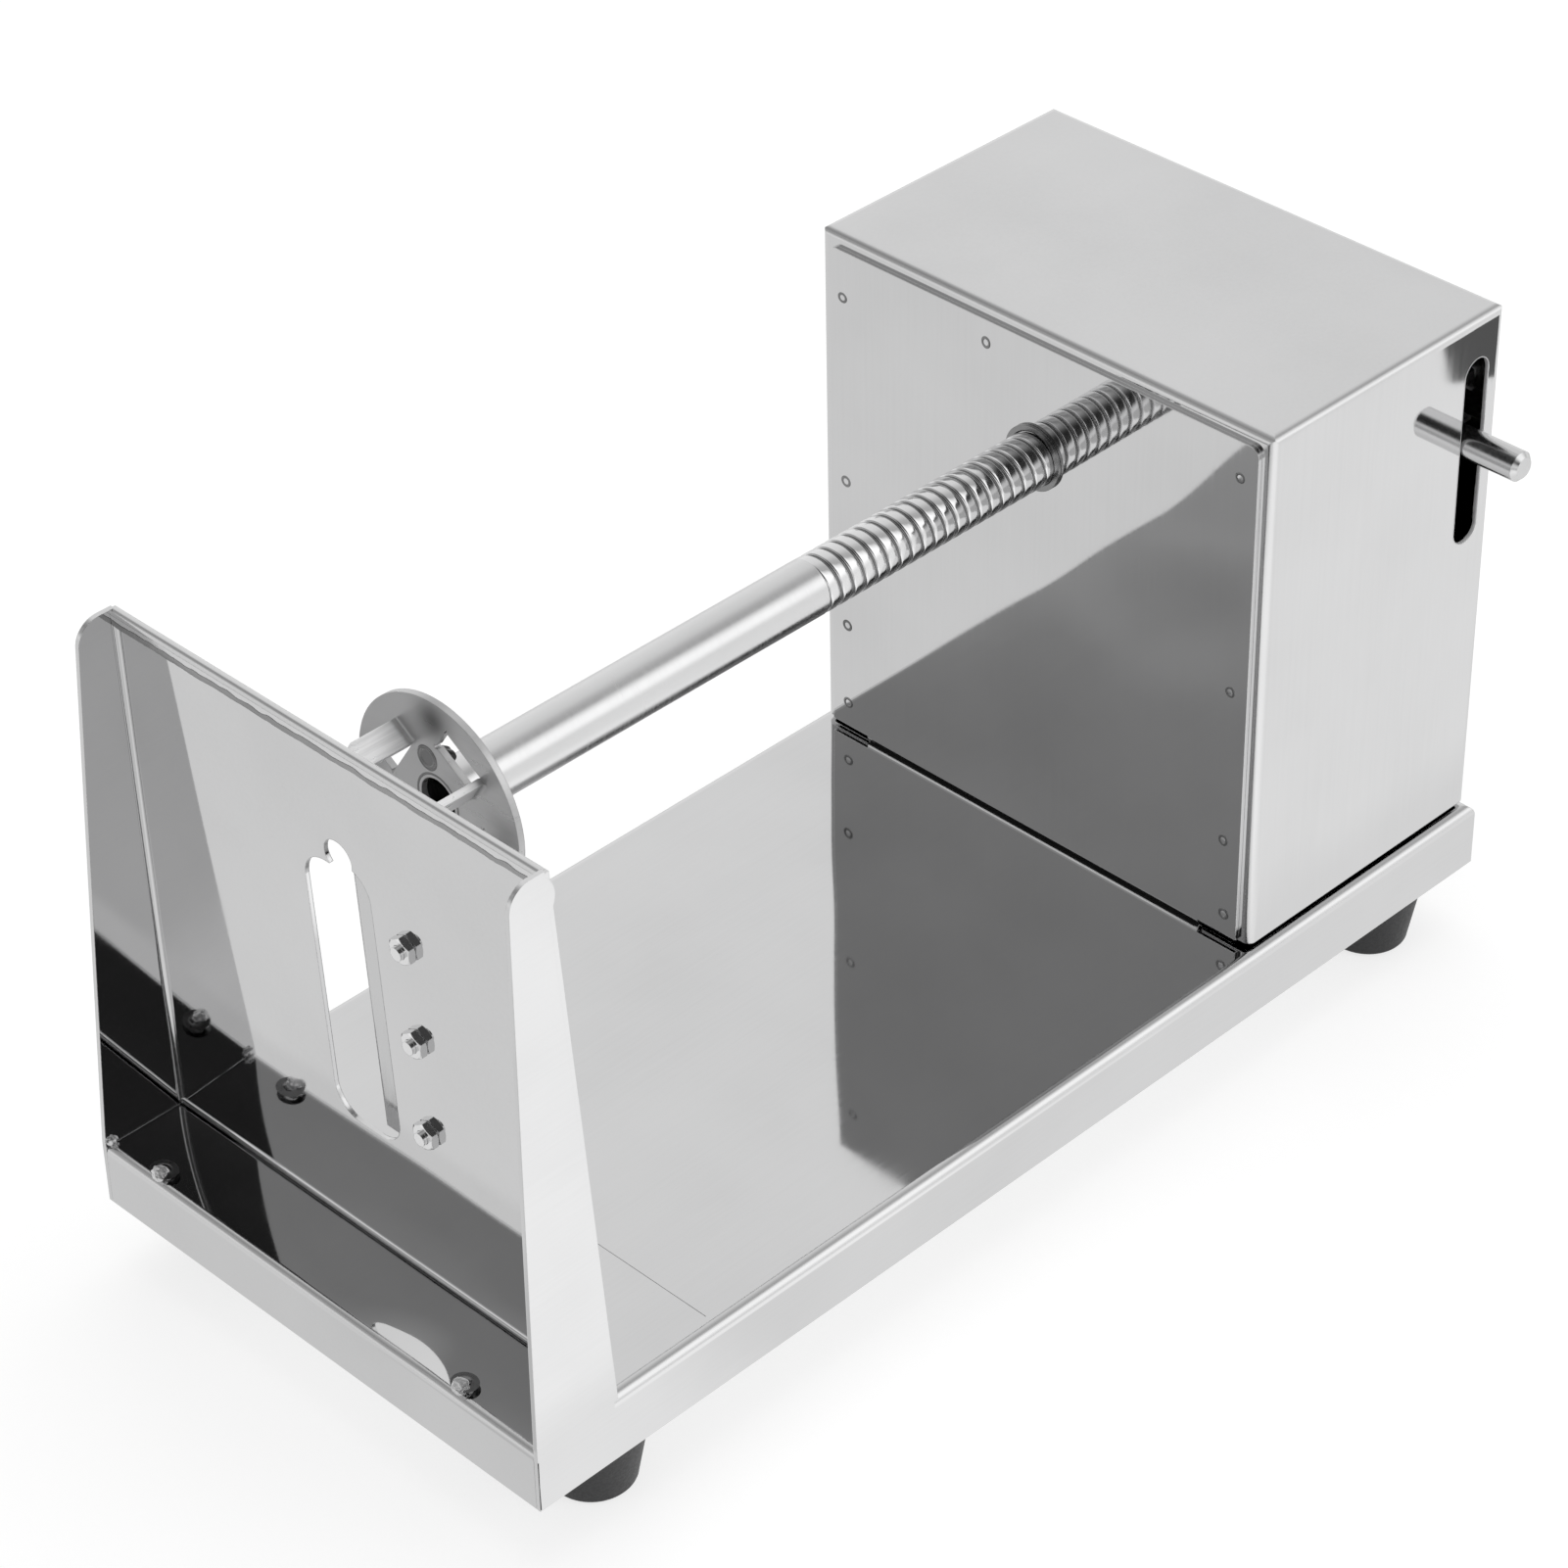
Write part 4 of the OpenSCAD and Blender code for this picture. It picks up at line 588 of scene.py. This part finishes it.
def floor_material():
    m, g, shader = new_material("studio_floor")
    path = g.add("ShaderNodeLightPath")
    shader.inputs["Base Color"].default_value = (0.36, 0.36, 0.36, 1)
    shader.inputs["Roughness"].default_value = 0.9
    shader.inputs["Specular IOR Level"].default_value = 0.1
    # Metal sees white paper: brightest close to the front and right sides, paler grey behind
    split = g.add("ShaderNodeSeparateXYZ")
    g.join(g.add("ShaderNodeTexCoord").outputs["Object"], split.inputs[0])
    x, y, _ = split.outputs
    behind = g.remap(y, -0.012, 0.02, 0.68, 0.85)
    close = g.remap(x, -0.1, -0.06, 1.12, 0.95)
    right = g.blend(g.remap(x, -0.02, 0.12, 1.24, 1.02), close, g.remap(y, -0.108, -0.092))
    beside = g.math("MULTIPLY", g.remap(y, -0.03, -0.08), g.remap(x, -0.16, -0.145))
    paper = g.blend(behind, right, beside)
    ahead = g.math("SUBTRACT", LIP_X, x)
    before_lip = g.math("MULTIPLY", g.remap(ahead, -0.001, 0.001), g.remap(ahead, 0.0245, 0.0205))
    paper = g.blend(paper, 0.79, before_lip)
    # A dark stand beyond the rear corner on the right, which the side wall shows
    stand = g.math("SUBTRACT", y, g.math("MULTIPLY", x, 0.63))
    stand = g.math("MULTIPLY", g.remap(stand, -0.4064, -0.4074), g.remap(x, 0.42, 0.41))
    edge = g.math("ADD", x, g.math("MULTIPLY", y, 1.048))
    stand = g.math("MULTIPLY", stand, g.remap(edge, 0.0968, 0.0979))
    paper = g.blend(paper, 0.12, stand)
    shiny = g.math("MAXIMUM", path.outputs["Is Glossy Ray"], path.outputs["Is Transmission Ray"])
    mirrored, seen = g.add("ShaderNodeEmission"), g.add("ShaderNodeEmission")
    g.join(paper, mirrored.inputs["Strength"])
    g.join(g.math("MULTIPLY", path.outputs["Is Camera Ray"], 0.74), seen.inputs["Strength"])
    both, choice = g.add("ShaderNodeAddShader"), g.add("ShaderNodeMixShader")
    g.join(shader.outputs[0], both.inputs[0])
    g.join(seen.outputs[0], both.inputs[1])
    g.join(shiny, choice.inputs[0])
    g.join(both.outputs[0], choice.inputs[1])
    g.join(mirrored.outputs[0], choice.inputs[2])
    g.join(choice.outputs[0], m.node_tree.nodes["Material Output"].inputs["Surface"])
    return m


bm = bmesh.new()
bmesh.ops.create_grid(bm, x_segments=8, y_segments=8, size=6.0)
mesh = bpy.data.meshes.new("floor")
bm.to_mesh(mesh)
bm.free()
floor = bpy.data.objects.new("floor", mesh)
scene.collection.objects.link(floor)
floor.location = (0.0, 0.0, -0.0002)
mesh.materials.append(floor_material())

world = bpy.data.worlds.new("studio")
scene.world = world
world.use_nodes = True
tree = world.node_tree
tree.nodes.clear()
g = Nodes(tree)
place = g.add("ShaderNodeTexCoord")
split = g.add("ShaderNodeSeparateXYZ")
g.join(place.outputs["Generated"], split.inputs[0])
wx, wy, wz = split.outputs


def curve(value, stops):
    """A piecewise curve of value, whose stops run from -1 to 1."""
    scaled = g.math("ADD", g.math("MULTIPLY", value, 0.5), 0.5)
    ramp = g.add("ShaderNodeValToRGB")
    while len(ramp.color_ramp.elements) < len(stops):
        ramp.color_ramp.elements.new(0.5)
    for element, (at, level) in zip(ramp.color_ramp.elements, stops):
        element.position = at / 2 + 0.5
        element.color = (level, level, level, 1)
    g.join(scaled, ramp.inputs["Fac"])
    return ramp.outputs["Color"]


# The room as metal sees it: white near the floor, a bright window side, and a dark side behind the blade
light_side = curve(wy, [(-0.6, 1.4), (-0.45, 1.0), (-0.32, 0.5), (-0.1, 0.55), (0.25, 0.83), (0.5, 0.9),
                        (0.9, 1.0)])
light_side = g.blend(1.0, light_side, g.remap(wz, 0.1, 0.4))
dark_side = curve(wz, [(0.1, 1.0), (0.2, 0.85), (0.34, 0.45), (0.43, 0.4), (0.545, 0.53), (0.572, 0.37),
                       (0.62, 0.31), (0.68, 0.32), (0.75, 0.46), (0.9, 0.55)])
shade = g.blend(1.0, g.remap(wy, -0.35, 0.35, 0.1, 1.0), g.remap(wz, 0.2, 0.45))
room = g.blend(g.math("MULTIPLY", dark_side, shade), light_side, g.remap(wx, -0.3, 0.2))
path = g.add("ShaderNodeLightPath")
shiny = g.math("MAXIMUM", path.outputs["Is Glossy Ray"], path.outputs["Is Transmission Ray"])
level = g.blend(0.46, room, shiny)
level = g.blend(level, 1.0, path.outputs["Is Camera Ray"])
back = g.add("ShaderNodeBackground")
back.inputs["Color"].default_value = (1, 1, 1, 1)
g.join(level, back.inputs["Strength"])
out = g.add("ShaderNodeOutputWorld")
g.join(back.outputs[0], out.inputs["Surface"])


def area(name, place, target, size, watts):
    """A rectangular lamp that neither metal nor the camera sees."""
    lamp = bpy.data.lights.new(name, "AREA")
    lamp.shape = "RECTANGLE"
    lamp.size, lamp.size_y = size
    lamp.energy = watts
    obj = bpy.data.objects.new(name, lamp)
    obj.location = place
    obj.rotation_euler = (Vector(target) - Vector(place)).to_track_quat("-Z", "Y").to_euler()
    obj.visible_glossy = False
    obj.visible_camera = False
    scene.collection.objects.link(obj)


area("overhead_softbox", (0.35, 0.25, 1.5), (0.0, 0.0, 0.05), (1.4, 1.4), 10)
area("side_softbox", (0.4, -1.3, 0.75), (0.0, 0.0, 0.08), (1.0, 0.8), 4)

# ---------------------------------------------------------------- camera
cam = bpy.data.cameras.new("camera")
cam.sensor_width = 36.0
cam.lens = 109.95
cam.shift_x = 0.0005
cam.shift_y = 0.0003
cam.clip_start = 0.01
cam_obj = bpy.data.objects.new("camera", cam)
right = Vector((0.70499, -0.70903, -0.01633)).normalized()
ahead = Vector((0.56583, 0.57619, -0.58978))
ahead = (ahead - right * ahead.dot(right)).normalized()
up = right.cross(ahead)
turn_to = Matrix((right, up, -ahead)).transposed()
cam_obj.matrix_world = Matrix.Translation((-0.56604, -0.5643, 0.66166)) @ turn_to.to_4x4()
scene.collection.objects.link(cam_obj)
scene.camera = cam_obj

scene.view_settings.view_transform = "Standard"

bpy.context.view_layer.update()
